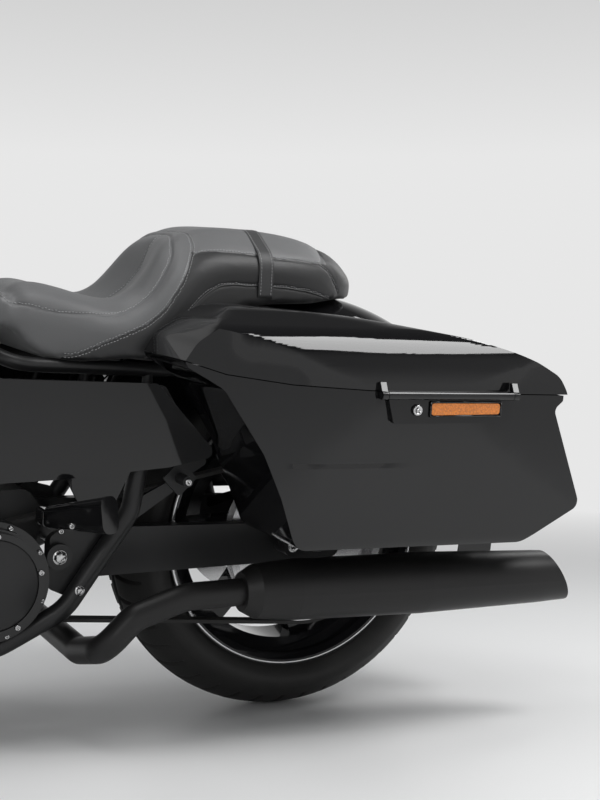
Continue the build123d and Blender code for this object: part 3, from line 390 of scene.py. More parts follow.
NODE_FINISHES = [
    (GLOSS, "rear_fender fuel_tank side_covers lid_left lid_right front_fender fairing hinge_trims"),
    (BAG_GLOSS, "saddlebag_left saddlebag_right"),
    (SATIN, "frame_spine frame_cradle swingarm shocks bag_supports side_stand engine_guard "
            "fairing_bracket foot_controls"),
    (HOT, "exhaust_pipes mufflers"),
    (WRINKLE, "engine_block cylinders"),
    (ENGINE, "rocker_covers primary_cover cam_cover air_cleaner yokes handlebar controls mirrors "
             "rear_caliper front_calipers fork_sliders footboards passenger_pegs"),
    (MOULDED, "plate_bracket gauges"),
    (RUBBER, "rear_tyre front_tyre drive_belt grips"),
    (STEEL, "rear_axle front_axle fork_tubes tank_cap rear_disc front_discs"),
    (ALLOY, "rear_pulley"),
    (WHEEL, "rear_rim front_rim"),
    (RED, "tail_lamp"),
    (AMBER, "reflectors rear_signals front_signals"),
    (CLEAR, "headlamp"),
    (SMOKED, "windscreen"),
    (LEATHER, "seat"),
    (STRAP_LEATHER, "seat_strap"),
]


def finish_with(made, material):
    made.data.materials.clear()
    made.data.materials.append(material)


for material, names in NODE_FINISHES:
    for node in names.split():
        finish_with(NODES[node], material)

# ---- making pieces ------------------------------------------------------------------
HUB = np.array(REAR_HUB)
LEAN_ROWS = np.array(LEAN)


def to_row(points):
    """Upright millimetres, one point a line, as metres of the row."""
    return (np.asarray(points, float) - (0, 0, REAR_R)) @ LEAN_ROWS.T / 1000 + HUB


def to_upright(points):
    return (np.asarray(points, float) - HUB) @ LEAN_ROWS * 1000 + (0, 0, REAR_R)


def vertices_of(mesh):
    flat = np.zeros(len(mesh.vertices) * 3)
    mesh.vertices.foreach_get("co", flat)
    return flat.reshape(-1, 3)


def normals_of(mesh):
    flat = np.zeros(len(mesh.vertices) * 3)
    mesh.vertex_normals.foreach_get("vector", flat)
    return flat.reshape(-1, 3)


def move_vertices(mesh, points):
    mesh.vertices.foreach_set("co", np.asarray(points).ravel())
    mesh.update()


def put_in(name, data):
    """A new object of the scene, from a mesh, a lamp or a camera."""
    made = bpy.data.objects.new(name, data)
    bpy.context.scene.collection.objects.link(made)
    return made


def piece(name, points, faces, material, body="chassis"):
    """A new mesh from upright millimetres, riding on a body."""
    mesh = bpy.data.meshes.new(name)
    mesh.from_pydata(to_row(points).tolist(), [], faces)
    mesh.shade_smooth()
    made = put_in(name, mesh)
    finish_with(made, material)
    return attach(made, body)


class Shapes:
    """Many small shapes gathered into one mesh."""

    def __init__(self):
        self.points, self.faces = [], []

    def add(self, points, faces):
        first = len(self.points)
        self.points += [tuple(point) for point in points]
        self.faces += [tuple(first + corner for corner in face) for face in faces]

    def lathe(self, centre, direction, profile, sides=16, hexes=()):
        """A turned shape from (radius, height) rows; rows numbered in hexes are six-sided."""
        centre, axis = np.asarray(centre, float), unit(direction)
        across, along = frame_across(axis)
        turns = [2 * pi * n / sides for n in range(sides)]
        points = []
        for row, (radius, height) in enumerate(profile):
            for turn in turns:
                flat = cos(pi / 6) / cos((turn + pi / 6) % (pi / 3) - pi / 6) if row in hexes else 1
                reach = radius * flat
                points.append(centre + axis * height + (across * cos(turn) + along * sin(turn)) * reach)
        faces = [(row * sides + n, row * sides + (n + 1) % sides,
                  (row + 1) * sides + (n + 1) % sides, (row + 1) * sides + n)
                 for row in range(len(profile) - 1) for n in range(sides)]
        faces += [tuple(range(sides))[::-1], tuple((len(profile) - 1) * sides + n for n in range(sides))]
        self.add(points, faces)

    def run(self, path, radius, sides=8):
        """A round cord along a list of points."""
        path = np.asarray(path, float)
        ways = np.gradient(path, axis=0)
        points = []
        for place, way in zip(path, ways):
            across, along = frame_across(unit(way))
            for n in range(sides):
                turn = 2 * pi * n / sides
                points.append(place + (across * cos(turn) + along * sin(turn)) * radius)
        faces = [(row * sides + n, row * sides + (n + 1) % sides,
                  (row + 1) * sides + (n + 1) % sides, (row + 1) * sides + n)
                 for row in range(len(path) - 1) for n in range(sides)]
        faces += [tuple(range(sides))[::-1], tuple((len(path) - 1) * sides + n for n in range(sides))]
        self.add(points, faces)

    def stitch(self, place, way, out, length, width):
        """One stitch: a short rounded bead lying on the surface."""
        way, out = unit(way), unit(out)
        side = np.cross(out, way)
        points = [place - way * length / 2, place + way * length / 2]
        for share in (-0.28, 0.28):
            for n in range(5):
                turn = 2 * pi * n / 5
                ring = side * cos(turn) + out * sin(turn)
                points.append(place + way * share * length + ring * width / 2)
        faces = [(2 + n, 2 + (n + 1) % 5, 7 + (n + 1) % 5, 7 + n) for n in range(5)]
        faces += [(0, 2 + (n + 1) % 5, 2 + n) for n in range(5)]
        faces += [(1, 7 + n, 7 + (n + 1) % 5) for n in range(5)]
        self.add(points, faces)

    def without_caps(self):
        """The same turned shapes, open at their ends."""
        self.faces = [face for face in self.faces if len(face) == 4]
        return self

    def make(self, name, material, body="chassis"):
        piece(name, self.points, self.faces, material, body)


def unit(way):
    way = np.asarray(way, float)
    return way / np.linalg.norm(way)


def frame_across(axis):
    """Two directions square to an axis and to each other."""
    across = unit(np.cross(axis, (0, 0, 1) if abs(axis[2]) < 0.9 else (1, 0, 0)))
    return across, np.cross(axis, across)


def curve_through(points, step):
    """A smooth curve through the points, as places a step apart (Catmull-Rom)."""
    points = np.asarray(points, float)
    ends = np.vstack([2 * points[0] - points[1], points, 2 * points[-1] - points[-2]])
    fine = []
    for a, b, c, d in zip(ends, ends[1:], ends[2:], ends[3:]):
        for share in np.linspace(0, 1, 16, endpoint=False):
            fine.append(0.5 * (2 * b + (c - a) * share + (2 * a - 5 * b + 4 * c - d) * share ** 2
                               + (3 * b - a - 3 * c + d) * share ** 3))
    fine = np.array(fine + [points[-1]])
    reach = np.concatenate([[0], np.cumsum(np.linalg.norm(np.diff(fine, axis=0), axis=1))])
    places = np.linspace(0, reach[-1], max(int(reach[-1] / step), 2) + 1)
    return np.stack([np.interp(places, reach, fine[:, axis]) for axis in range(3)], 1)


def surface_tree(mesh):
    """A search tree over a mesh, in upright millimetres."""
    points = to_upright(vertices_of(mesh))
    return BVHTree.FromPolygons(points.tolist(), [tuple(face.vertices) for face in mesh.polygons])


def eased(path, rounds):
    """A path with its small kinks averaged away; its ends stay."""
    path = np.array(path, float)
    for _ in range(rounds):
        path[1:-1] = (path[:-2] + 2 * path[1:-1] + path[2:]) / 4
    return path


def laid_on(tree, path, lift=0.0):
    """Each point of a path moved onto the surface, and the surface's directions there."""
    places, outs = [], []
    for point in path:
        place, out, _, _ = tree.find_nearest(Vector(point))
        places.append(np.array(place + out * lift))
        outs.append(np.array(out))
    return eased(places, 6), np.array(outs)


def mirrored(path):
    return np.asarray(path) * (1, -1, 1)


# ---- seat ---------------------------------------------------------------------------
# seams on the left half, from the front to the rear; the right half is their mirror image
DISH_SEAM = [(612, 100, 742), (565, 112, 734), (530, 122, 722), (480, 144, 712), (424, 152, 709),
             (385, 152, 711), (341, 142, 729), (309, 135, 761), (280, 114, 802), (265, 79, 828),
             (252, 38, 840), (249, 0, 842)]
CENTRE_SEAM = [(352, 0, 738), (320, 0, 750), (300, 0, 775), (278, 0, 815), (262, 0, 838), (250, 0, 842)]
BOLSTER_SEAM = [(470, 150, 642), (444, 159, 648), (390, 174, 674), (337, 177, 699), (304, 172, 726),
                (273, 160, 770), (248, 128, 812), (238, 100, 833), (236, 59, 848), (236, 0, 852)]
SKIRT_SEAM = [(338, 176, 640), (294, 171, 680), (248, 158, 733), (216, 153, 758), (186, 149, 767),
              (152, 146, 767), (94, 140, 766), (27, 130, 759), (-20, 109, 747)]
PILLION_SEAM = [(244, 127, 814), (218, 127, 820), (177, 130, 821), (144, 131, 818), (91, 130, 813),
                (40, 124, 810), (6, 115, 807), (-8, 92, 816), (-14, 60, 824), (-16, 0, 828)]
CORNER_SEAM = [(6, 115, 806), (-14, 114, 796), (-27, 111, 780), (-44, 101, 758)]
SEAMS = [DISH_SEAM, CENTRE_SEAM, BOLSTER_SEAM, SKIRT_SEAM, PILLION_SEAM, CORNER_SEAM]
PAD_GRAIN = 0.0065               # remesh size in metres
HUMP_BACK, DISH_DEEP = 60, 18    # how far the hump goes back and the dish goes down
COVER_PRESSURE, CLOTH_FRAMES = 4, 20
COVER_SWELL = 0.0014             # most that the cloth run may move the cover, in metres
PUFF, PUFF_REACH = 1.8, 16       # how far the leather stands up between seams, and how soon
SINK, SINK_REACH = 2.2, 2.6      # how deep a seam draws it in, and how wide


def rise(low, high, value):
    """0 below low, 1 above high and a smooth climb between."""
    share = np.clip((value - low) / (high - low), 0, 1)
    return share * share * (3 - 2 * share)


def apply_modifiers(made):
    """The mesh as its modifiers leave it."""
    made.data = bpy.data.meshes.new_from_object(made.evaluated_get(bpy.context.evaluated_depsgraph_get()))
    made.modifiers.clear()


def hollow_saddle(points, outs):
    """The rider's place: the back of it steep, and a dish in the middle."""
    x = points[:, 0]
    climb = np.where(x < 460, rise(150, 460, x), 1 - rise(460, 642, x))
    points = points - np.stack([HUMP_BACK * climb, 0 * x, 0 * x], 1)
    x, y = points[:, 0], abs(points[:, 1])
    half = np.interp(x, [240, 275, 300, 330, 370, 430, 520, 600], [1, 70, 105, 130, 140, 140, 115, 90])
    middle = rise(0, 1, np.clip(1 - y / half, 0, 1)) * (x > 240)
    deep = DISH_DEEP * rise(262, 310, x) * (1 - rise(400, 560, x))
    return points - outs * (middle * deep * (outs[:, 2] > 0.1))[:, None]


def stuff(made):
    """Foam pressing the cover out: a short cloth run, its movement held small."""
    rest = vertices_of(made.data)
    cloth = made.modifiers.new("cover", "CLOTH").settings
    cloth.use_pressure = True
    cloth.uniform_pressure_force = COVER_PRESSURE
    cloth.effector_weights.gravity = 0
    for frame_number in range(1, CLOTH_FRAMES + 1):
        bpy.context.scene.frame_set(frame_number)
    apply_modifiers(made)
    bpy.context.scene.frame_set(1)
    shift = vertices_of(made.data) - rest
    length = np.linalg.norm(shift, axis=1, keepdims=True)
    move_vertices(made.data, rest + shift * np.minimum(1, COVER_SWELL / np.maximum(length, 1e-9)))


def seam_paths(tree, step):
    """Every seam over the whole seat, laid on its surface."""
    paths = []
    for seam in SEAMS:
        fine = curve_through(seam, step)
        paths.append(laid_on(tree, fine))
        if seam is not CENTRE_SEAM:
            paths.append(laid_on(tree, mirrored(fine)))
    return paths


def distance_to(paths, points):
    near = KDTree(sum(len(places) for places, _ in paths))
    for number, place in enumerate(place for places, _ in paths for place in places):
        near.insert(place, number)
    near.balance()
    return np.array([near.find(point)[2] for point in points])


def panel_tones(points, paths):
    """Signed millimetres into the pale top panels, whose tone is partly painted sheen, and into the black
    skirt.
    """
    x, z = points[:, 0], points[:, 2]
    bolster_x = np.interp(z, [640, 648, 674, 699, 726, 770, 812, 833, 848],
                          [470, 444, 390, 337, 304, 273, 248, 238, 236])
    pillion_z = np.interp(x, [6, 91, 144, 218, 244], [807, 813, 818, 820, 814])
    # the seat's top faces: their pale tone is partly two-tone leather and partly painted sheen
    light = (x > bolster_x) | ((z > pillion_z) & (x > -14) & (x < 244))
    skirt_z = np.interp(x, [-20, 27, 94, 152, 186, 216, 248, 294, 338],
                        [747, 759, 766, 767, 767, 758, 733, 680, 640])
    skirt = (z < skirt_z) & (x < bolster_x)
    edges = distance_to([paths[n] for n in (3, 4, 7, 8)], points)
    hem = distance_to(paths[5:7], points)
    return np.where(light, edges, -edges), np.where(skirt, hem, -hem)


def keep_values(mesh, name, values):
    mesh.attributes.new(name, "FLOAT", "POINT").data.foreach_set("value", values.astype(np.float32))


def saddle():
    cover = put_in("seat_cover", NODES["seat"].data.copy())
    remesh = cover.modifiers.new("even", "REMESH")
    remesh.mode = "VOXEL"
    remesh.voxel_size = PAD_GRAIN
    apply_modifiers(cover)
    shaped = hollow_saddle(to_upright(vertices_of(cover.data)), normals_of(cover.data) @ LEAN_ROWS)
    move_vertices(cover.data, to_row(shaped))
    stuff(cover)
    smooth_cover = cover.modifiers.new("fine", "SUBSURF")
    smooth_cover.levels = 1
    apply_modifiers(cover)
    points, outs = to_upright(vertices_of(cover.data)), normals_of(cover.data) @ LEAN_ROWS
    tree = surface_tree(cover.data)
    paths = seam_paths(tree, 2.0)
    gap = distance_to(paths, points)
    lift = PUFF * (1 - np.exp(-(gap / PUFF_REACH) ** 2)) - SINK * np.exp(-(gap / SINK_REACH) ** 2)
    points += outs * lift[:, None]
    move_vertices(cover.data, to_row(points))
    # the pale top panels carry painted sheen as well as the leather's two-tone
    light, skirt = panel_tones(points, paths)
    keep_values(cover.data, "light_panel", light)
    keep_values(cover.data, "skirt", skirt)
    cover.data.shade_smooth()
    finish_with(cover, LEATHER)
    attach(cover, "chassis")
    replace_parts(cover, "seat")
    return surface_tree(cover.data)


STITCH_STEP, STITCH_LONG, STITCH_WIDE = 5.4, 3.9, 1.1


def sewn(shapes, tree, seam, offsets, ways=BOTH_SIDES):
    """Stitches beside a seam, at the given distances from it, on each half of the seat."""
    fine = curve_through(seam, STITCH_STEP)
    for way in ways:
        places, outs = laid_on(tree, fine * (1, way, 1))
        runs = np.gradient(places, axis=0)
        for offset in offsets:
            for place, out, run in zip(places[1:-1], outs[1:-1], runs[1:-1]):
                side = unit(np.cross(out, run)) * way
                spot, lift, _, _ = tree.find_nearest(Vector(place + side * offset))
                spot, lift = np.array(spot), np.array(lift)
                shapes.stitch(spot + lift * 0.25, run, lift, STITCH_LONG, STITCH_WIDE)


def seat_stitching(tree):
    thread = Shapes()
    sewn(thread, tree, DISH_SEAM, (3.6,))
    sewn(thread, tree, CENTRE_SEAM, (-3.6, 3.6), (1,))
    sewn(thread, tree, BOLSTER_SEAM, (-3.8, 3.8))
    sewn(thread, tree, SKIRT_SEAM, (3.8,))
    sewn(thread, tree, PILLION_SEAM, (3.6,))
    sewn(thread, tree, CORNER_SEAM, (-3.2, 3.2))
    thread.make("seat_stitching", THREAD)


def seat_piping(tree):
    """Piping along the skirt's seam."""
    cord = Shapes()
    for way in BOTH_SIDES:
        places, _ = laid_on(tree, curve_through(SKIRT_SEAM, 4) * (1, way, 1), 0.6)
        cord.run(places, 1.5)
    cord.make("seat_piping", STRAP_LEATHER)


def strap_stitching():
    """Two rows along the passenger's strap, over the seat from side to side."""
    tree = surface_tree(NODES["seat_strap"].data)
    thread = Shapes()
    arc = [(118, 150 * cos(turn), 760 + 110 * sin(turn)) for turn in np.linspace(-0.1, pi + 0.1, 160)]
    for x in (118 - 9.5, 118 + 9.5):
        path = [(x, y, z) for _, y, z in arc]
        hits = [tree.ray_cast(Vector((x, y * 1.6, 760 + (z - 760) * 1.6)),
                              Vector((0, -y, 760 - z)).normalized()) for _, y, z in path]
        places = np.array([hit[0] for hit in hits if hit[0]])
        outs = [hit[1] for hit in hits if hit[0]]
        reach = np.concatenate([[0], np.cumsum(np.linalg.norm(np.diff(places, axis=0), axis=1))])
        for spot in np.arange(4, reach[-1], STITCH_STEP):
            n = int(np.searchsorted(reach, spot))
            run = places[min(n + 1, len(places) - 1)] - places[max(n - 1, 0)]
            place = np.array([np.interp(spot, reach, places[:, axis]) for axis in range(3)])
            out = np.array(outs[n])
            thread.stitch(place + out * 0.2, run, out, STITCH_LONG, STITCH_WIDE)
    thread.make("strap_stitching", THREAD)


SEAT_TREE = saddle()
seat_stitching(SEAT_TREE)
seat_piping(SEAT_TREE)
strap_stitching()

# ---- lacquered shells ---------------------------------------------------------------
OWN_SHARE = 0.003                # weight of a face's own direction against its neighbours'
MOST_CORNERS = 24                # how many corners of one vertex are compared


def refined(mesh, length):
    """Welds a mesh and cuts it until no edge is much longer than a length in metres."""
    work = bmesh.new()
    work.from_mesh(mesh)
    bmesh.ops.remove_doubles(work, verts=work.verts, dist=1e-5)
    bmesh.ops.triangulate(work, faces=work.faces)
    for _ in range(7):
        long_edges = [edge for edge in work.edges if edge.calc_length() > length]
        if long_edges:
            bmesh.ops.subdivide_edges(work, edges=long_edges, cuts=1)
            bmesh.ops.triangulate(work, faces=[face for face in work.faces if len(face.verts) > 3])
    work.to_mesh(mesh)
    work.free()


def summed(values, owners, count):
    """Rows of values added up by owner."""
    return np.stack([np.bincount(owners, values[:, axis], count) for axis in range(3)], 1)


def scaled_to_one(rows):
    return rows / np.maximum(np.linalg.norm(rows, axis=1, keepdims=True), 1e-12)


def evened_normals(mesh, rounds, fold):
    """Normals averaged across folds shallower than an angle, so that lacquer shows no facets."""
    faces = np.array([face.vertices[:] for face in mesh.polygons])
    points = vertices_of(mesh)
    first, second, third = (points[faces[:, corner]] for corner in range(3))
    crossed = np.cross(second - first, third - first)
    weight = np.linalg.norm(crossed, axis=1)[:, None]
    flat = scaled_to_one(crossed)
    owner = np.repeat(np.arange(len(faces)), 3)
    edges = np.sort(faces[:, [[0, 1], [1, 2], [2, 0]]].reshape(-1, 2), axis=1)
    order = np.lexsort(edges.T)
    same = (edges[order][1:] == edges[order][:-1]).all(1)
    one, other = owner[order][:-1][same], owner[order][1:][same]
    shallow = (flat[one] * flat[other]).sum(1) > cos(radians(fold))
    one, other, ends = one[shallow], other[shallow], edges[order][:-1][same][shallow]
    joint = np.linalg.norm(points[ends[:, 0]] - points[ends[:, 1]], axis=1)[:, None]
    way = flat
    for _ in range(rounds):
        spread = summed(way[other] * joint, one, len(faces))
        spread += summed(way[one] * joint, other, len(faces))
        way = scaled_to_one(way * OWN_SHARE + spread)
    corner = np.argsort(faces.ravel(), kind="stable")
    vertex, face = faces.ravel()[corner], owner[corner]
    total = (way * weight)[face]
    for step in range(1, MOST_CORNERS):
        met = np.flatnonzero(vertex[step:] == vertex[:-step])
        met = met[(flat[face[met]] * flat[face[met + step]]).sum(1) > cos(radians(fold))]
        total[met] += (way * weight)[face[met + step]]
        total[met + step] += (way * weight)[face[met]]
    normals = np.zeros((len(owner), 3))
    normals[corner] = scaled_to_one(total)
    mesh.normals_split_custom_set(normals.tolist())


def lacquered(node, body, length, rounds, fold):
    """A shell that stands in for a node and reflects evenly."""
    mesh = NODES[node].data.copy()
    refined(mesh, length)
    mesh.shade_smooth()
    evened_normals(mesh, rounds, fold)
    shell = put_in(node + "_shell", mesh)
    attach(shell, body)
    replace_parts(shell, node)


for side in ("left", "right"):
    lacquered("lid_" + side, "lid_" + side, 0.010, 70, 52)
    lacquered("saddlebag_" + side, "chassis", 0.016, 24, 26)
lacquered("side_covers", "chassis", 0.020, 10, 24)
lacquered("fairing", "steering", 0.022, 12, 24)

# ---- screws, bolts and fittings -----------------------------------------------------
def screw_on(shapes, place, direction, radius, head, kind):
    """A fastener standing on a surface: a socket button or a hexagon head on its washer."""
    if kind == "socket":
        profile = [(radius, -0.5), (radius, head * 0.45), (radius * 0.9, head * 0.85),
                   (radius * 0.62, head), (radius * 0.52, head), (radius * 0.48, head * 0.35),
                   (0.02, head * 0.35)]
        shapes.lathe(place, direction, profile, 18, (4, 5))
    else:
        profile = [(radius * 1.35, -0.5), (radius * 1.35, head * 0.2), (radius * 1.3, head * 0.24),
                   (radius, head * 0.26), (radius, head * 0.9), (radius * 0.86, head), (0.02, head)]
        shapes.lathe(place, direction, profile, 24, (3, 4))


def from_side(tree, x, z, side):
    """Where a line square to the machine's side first meets a surface."""
    return tree.ray_cast(Vector((x, side * 700, z)), Vector((0, -side, 0)))[0]


def side_screws(name, node, rows, material, body="chassis", sides=(1,)):
    """Fasteners on the outside of a node: rows of x, z, radius, head and kind."""
    tree = surface_tree(NODES[node].data)
    heads = Shapes()
    for side in sides:
        for x, z, radius, head, kind in rows:
            place = from_side(tree, x, z, side)
            if place is not None:
                screw_on(heads, place, (0, side, 0), radius, head, kind)
    heads.make(name, material, body)


def on_circle(x, z, radius, count, start=0.0):
    """Places spaced evenly round a circle, seen from the side."""
    turns = [radians(start + 360 * n / count) for n in range(count)]
    return [(x + radius * cos(turn), z + radius * sin(turn)) for turn in turns]


CLUTCH_X, CLUTCH_Z = 582, 286
CRANK_X, CRANK_Z = 880, 272
PIVOT_X, PIVOT_Z = 467, 322
WHEELBASE = 1625
FRONT_Z = float(to_upright([FRONT_HUB])[0][2])


def engine_fasteners():
    primary = [(x, z, 5, 5, "socket") for x, z in on_circle(CLUTCH_X, CLUTCH_Z, 79, 5, 22)]
    primary += [(CLUTCH_X + 92 * cos(t), CLUTCH_Z + 92 * sin(t), 4.5, 6, "socket")
                for t in (radians(110), radians(150), radians(200), radians(250))]
    primary += [(CRANK_X + 78 * cos(t), CRANK_Z + 78 * sin(t), 4.5, 6, "socket")
                for t in (radians(80), radians(30), radians(-20), radians(-70))]
    primary += [(700, CLUTCH_Z + 82, 4.5, 6, "socket"), (700, CLUTCH_Z - 82, 4.5, 6, "socket"),
                (790, CLUTCH_Z + 76, 4.5, 6, "socket"), (790, CLUTCH_Z - 84, 4.5, 6, "socket")]
    side_screws("primary_screws", "primary_cover", primary, STEEL)
    cam = [(x, z, 4.5, 6, "socket") for x, z in on_circle(CRANK_X + 10, CRANK_Z + 26, 78, 6, 15)]
    cam += [(560, 370, 5, 6, "socket"), (620, 375, 5, 6, "socket"), (690, 370, 5, 6, "socket"),
            (560, 240, 5, 6, "socket"), (640, 232, 5, 6, "socket"), (760, 232, 5, 6, "socket")]
    side_screws("cam_screws", "cam_cover", cam, STEEL, sides=(-1,))
    cleaner = [(x, z, 4, 4, "socket") for x, z in on_circle(CRANK_X, CRANK_Z + 330, 66, 5, 90)]
    side_screws("air_cleaner_screws", "air_cleaner", cleaner, STEEL, sides=(-1,))
    face = Shapes()
    face.lathe((CLUTCH_X, 197, CLUTCH_Z), (0, 1, 0), [(73.5, 0), (73.5, 1.2), (72, 2), (0.02, 2)], 64)
    face.make("derby_face", SATIN)


def frame_fasteners():
    """Bolts at the pivot, the docking posts, the rails and the shocks."""
    side_screws("pivot_bolts", "frame_cradle", [
        (PIVOT_X, PIVOT_Z, 9, 8, "hex"), (PIVOT_X - 4, PIVOT_Z + 40, 5.5, 6, "socket"),
        (PIVOT_X - 30, PIVOT_Z - 52, 6, 7, "hex"), (420, 372, 5, 6, "socket")], STEEL, sides=BOTH_SIDES)
    side_screws("docking_screws", "bag_supports", [(271, 448, 6.5, 5, "socket")], STEEL, sides=BOTH_SIDES)
    side_screws("shock_bolts", "shocks", [(62, REAR_R, 7, 8, "hex"), (150, 598, 7, 8, "hex")],
                STEEL, sides=BOTH_SIDES)
    side_screws("peg_bolts", "passenger_pegs", [(478, 390, 5, 6, "socket")], STEEL, sides=BOTH_SIDES)
    side_screws("guard_bolts", "engine_guard", [(1181, 270, 6, 7, "hex")], STEEL, sides=BOTH_SIDES)
    side_screws("caliper_bolts", "rear_caliper", [(-132, 372, 6, 6, "socket"), (-84, 414, 6, 6, "socket")],
                STEEL, sides=(-1,))
    side_screws("front_caliper_bolts", "front_calipers",
                [(1503, 345, 5.5, 6, "socket"), (1503, 405, 5.5, 6, "socket")],
                STEEL, "steering", BOTH_SIDES)


def saddlebag_fittings():
    """Lock barrels, and the darker frame round each reflector."""
    reflector = surface_tree(NODES["reflectors"].data)
    locks, frames = Shapes(), Shapes()
    for side in BOTH_SIDES:
        locks.lathe((-14, side * 446.5, 594), (0, side, 0),
                    [(8.2, 0), (8.2, 2.2), (7.2, 3), (5.2, 3), (5.0, 1.6), (0.02, 1.6)], 28)
        locks.lathe((-14, side * 448, 594), (0, side, 0), [(2.6, 0), (2.6, 1.1), (0.02, 1.1)], 6)
        face = abs(from_side(reflector, -100, 596, side).y)
        corners = np.array([(-38, 607), (-168, 607), (-168, 585.5), (-38, 584)])
        loop = [corners[n % 4] for n in range(5)]
        for (x0, z0), (x1, z1) in zip(loop, loop[1:]):
            frames.run([(x0, side * (face - 0.4), z0), (x1, side * (face - 0.4), z1)], 1.7, 8)
    locks.make("lock_barrels", STEEL)
    frames.make("reflector_frames", GLOSS)


# ---- wheels -------------------------------------------------------------------------
GROOVE_DEEP = 5.2
TREAD_STEPS, TREAD_ROWS, WALL_ROWS = 1080, 46, 14    # round, across and down each side


def machined_rings(name, x, z, radius, half, body):
    """The bright turned band round each side of a rim."""
    rings = Shapes()
    for side in BOTH_SIDES:
        rings.lathe((x, side * (half - 0.3), z), (0, side, 0),
                    [(radius, 0), (radius, 0.9), (radius - 5.5, 0.9), (radius - 5.5, 0)], 128)
    rings.without_caps().make(name, ALLOY, body)


def tread_height(turn, y, half, blocks):
    """Millimetres below the tread's face at an angle and a place across: grooves and sipes."""
    share = abs(y) / half
    sweep = turn * blocks / (2 * pi) + 0.85 * share - 0.35 * share ** 2 + np.where(y > 0, 0.5, 0)
    beat = sweep - np.floor(sweep)
    bar_groove = rise(0.0, 0.05, beat) * (1 - rise(0.13, 0.18, beat))
    bar_groove = bar_groove * rise(0.16, 0.22, share) * (1 - rise(0.86, 0.94, share))
    middle = 1 - rise(1.6, 3.2, abs(abs(y) - 0.13 * half))
    return GROOVE_DEEP * np.maximum(bar_groove, 0.85 * middle)


def treaded_tyre(name, node, x, z, radius, width, rim_radius, crown, blocks, body):
    """The tyre with its tread cut in, in place of the plain carcass."""
    half, shoulder = width / 2, 0.41 * width
    shoulder_r = radius - crown + sqrt(crown ** 2 - shoulder ** 2)
    flange_r, bead_y = rim_radius + 13.3, 0.37 * width - 0.3
    belly_r = (flange_r + shoulder_r) / 2
    rows = []
    for y in np.linspace(-shoulder, shoulder, TREAD_ROWS):
        rows.append((radius - crown + sqrt(crown ** 2 - y ** 2), y, 1.0))
    wall = []
    for share in np.linspace(0, 1, WALL_ROWS)[1:]:
        r = shoulder_r + (flange_r - shoulder_r) * share
        if r > belly_r:
            bulge = half - (half - shoulder) * ((r - belly_r) / (shoulder_r - belly_r)) ** 2
        else:
            bulge = half - (half - bead_y) * ((belly_r - r) / (belly_r - flange_r)) ** 2
        ridge = 0.7 if abs(share - 0.22) < 0.04 or abs(share - 0.86) < 0.05 else 0.0
        wall.append((r, bulge + ridge - 0.7, 0.0))
    inner = [(flange_r - 6, bead_y - 1, 0.0)]
    rows = [(r, -y, cut) for r, y, cut in (wall + inner)][::-1] + rows + wall + inner
    rows = np.array(rows)
    turns = np.linspace(0, 2 * pi, TREAD_STEPS, endpoint=False)
    depth = tread_height(turns[:, None], rows[None, :, 1], shoulder, blocks) * rows[None, :, 2]
    reach = rows[None, :, 0] - depth
    forward, up = np.cos(turns)[:, None], np.sin(turns)[:, None]
    sideways = np.broadcast_to(rows[None, :, 1], reach.shape)
    points = np.stack([x + reach * forward, sideways, z + reach * up], 2).reshape(-1, 3)
    count = len(rows)
    strips = [(a * count, ((a + 1) % TREAD_STEPS) * count) for a in range(TREAD_STEPS)]
    faces = [(a + b, c + b, c + b + 1, a + b + 1) for a, c in strips for b in range(count - 1)]
    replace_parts(piece(name, points, faces, RUBBER, body), node)


def wheel_details():
    machined_rings("rear_rim_ring", 0, REAR_R, 241, 73.6, "rear_wheel")
    machined_rings("front_rim_ring", WHEELBASE, FRONT_Z, 253, 55.1, "front_wheel")
    treaded_tyre("rear_tread", "rear_tyre", 0, REAR_R, 328, 180, 229, 100, 44, "rear_wheel")
    treaded_tyre("front_tread", "front_tyre", WHEELBASE, FRONT_Z, 319, 130, 241, 72, 46, "front_wheel")
    nuts = Shapes()
    for x, z in on_circle(0, REAR_R, 62, 5, 20):
        screw_on(nuts, (x, 96 + 24, z), (0, 1, 0), 5.5, 6, "hex")
    for x, z in on_circle(0, REAR_R, 36, 5, 20):
        screw_on(nuts, (x, -111, z), (0, -1, 0), 5, 5, "socket")
    nuts.make("pulley_bolts", STEEL, "rear_wheel")
    bolts = Shapes()
    for side in BOTH_SIDES:
        for x, z in on_circle(WHEELBASE, FRONT_Z, 36, 5, 20):
            screw_on(bolts, (x, side * 78, z), (0, side, 0), 5, 4, "socket")
    bolts.make("front_disc_bolts", STEEL, "front_wheel")
    valve = Shapes()
    turn = radians(100)
    foot = (206 * cos(turn), 30, REAR_R + 206 * sin(turn))
    valve.lathe(foot, (-cos(turn), 0.5, -sin(turn)),
                [(4, 0), (4, 14), (2.8, 15), (2.8, 26), (3.6, 26.5), (3.6, 34), (0.02, 35)], 14)
    valve.make("rear_valve", RUBBER, "rear_wheel")


# ---- lamps, dials and plate ---------------------------------------------------------
def paint_faces(node, material, wanted):
    """The faces of a node that pass a test of their place and outward way get a finish."""
    mesh = NODES[node].data
    mesh.materials.append(material)
    slot = len(mesh.materials) - 1
    for face in mesh.polygons:
        place = to_upright([face.center])[0]
        way = np.array(face.normal) @ LEAN_ROWS
        if wanted(place, way):
            face.material_index = slot


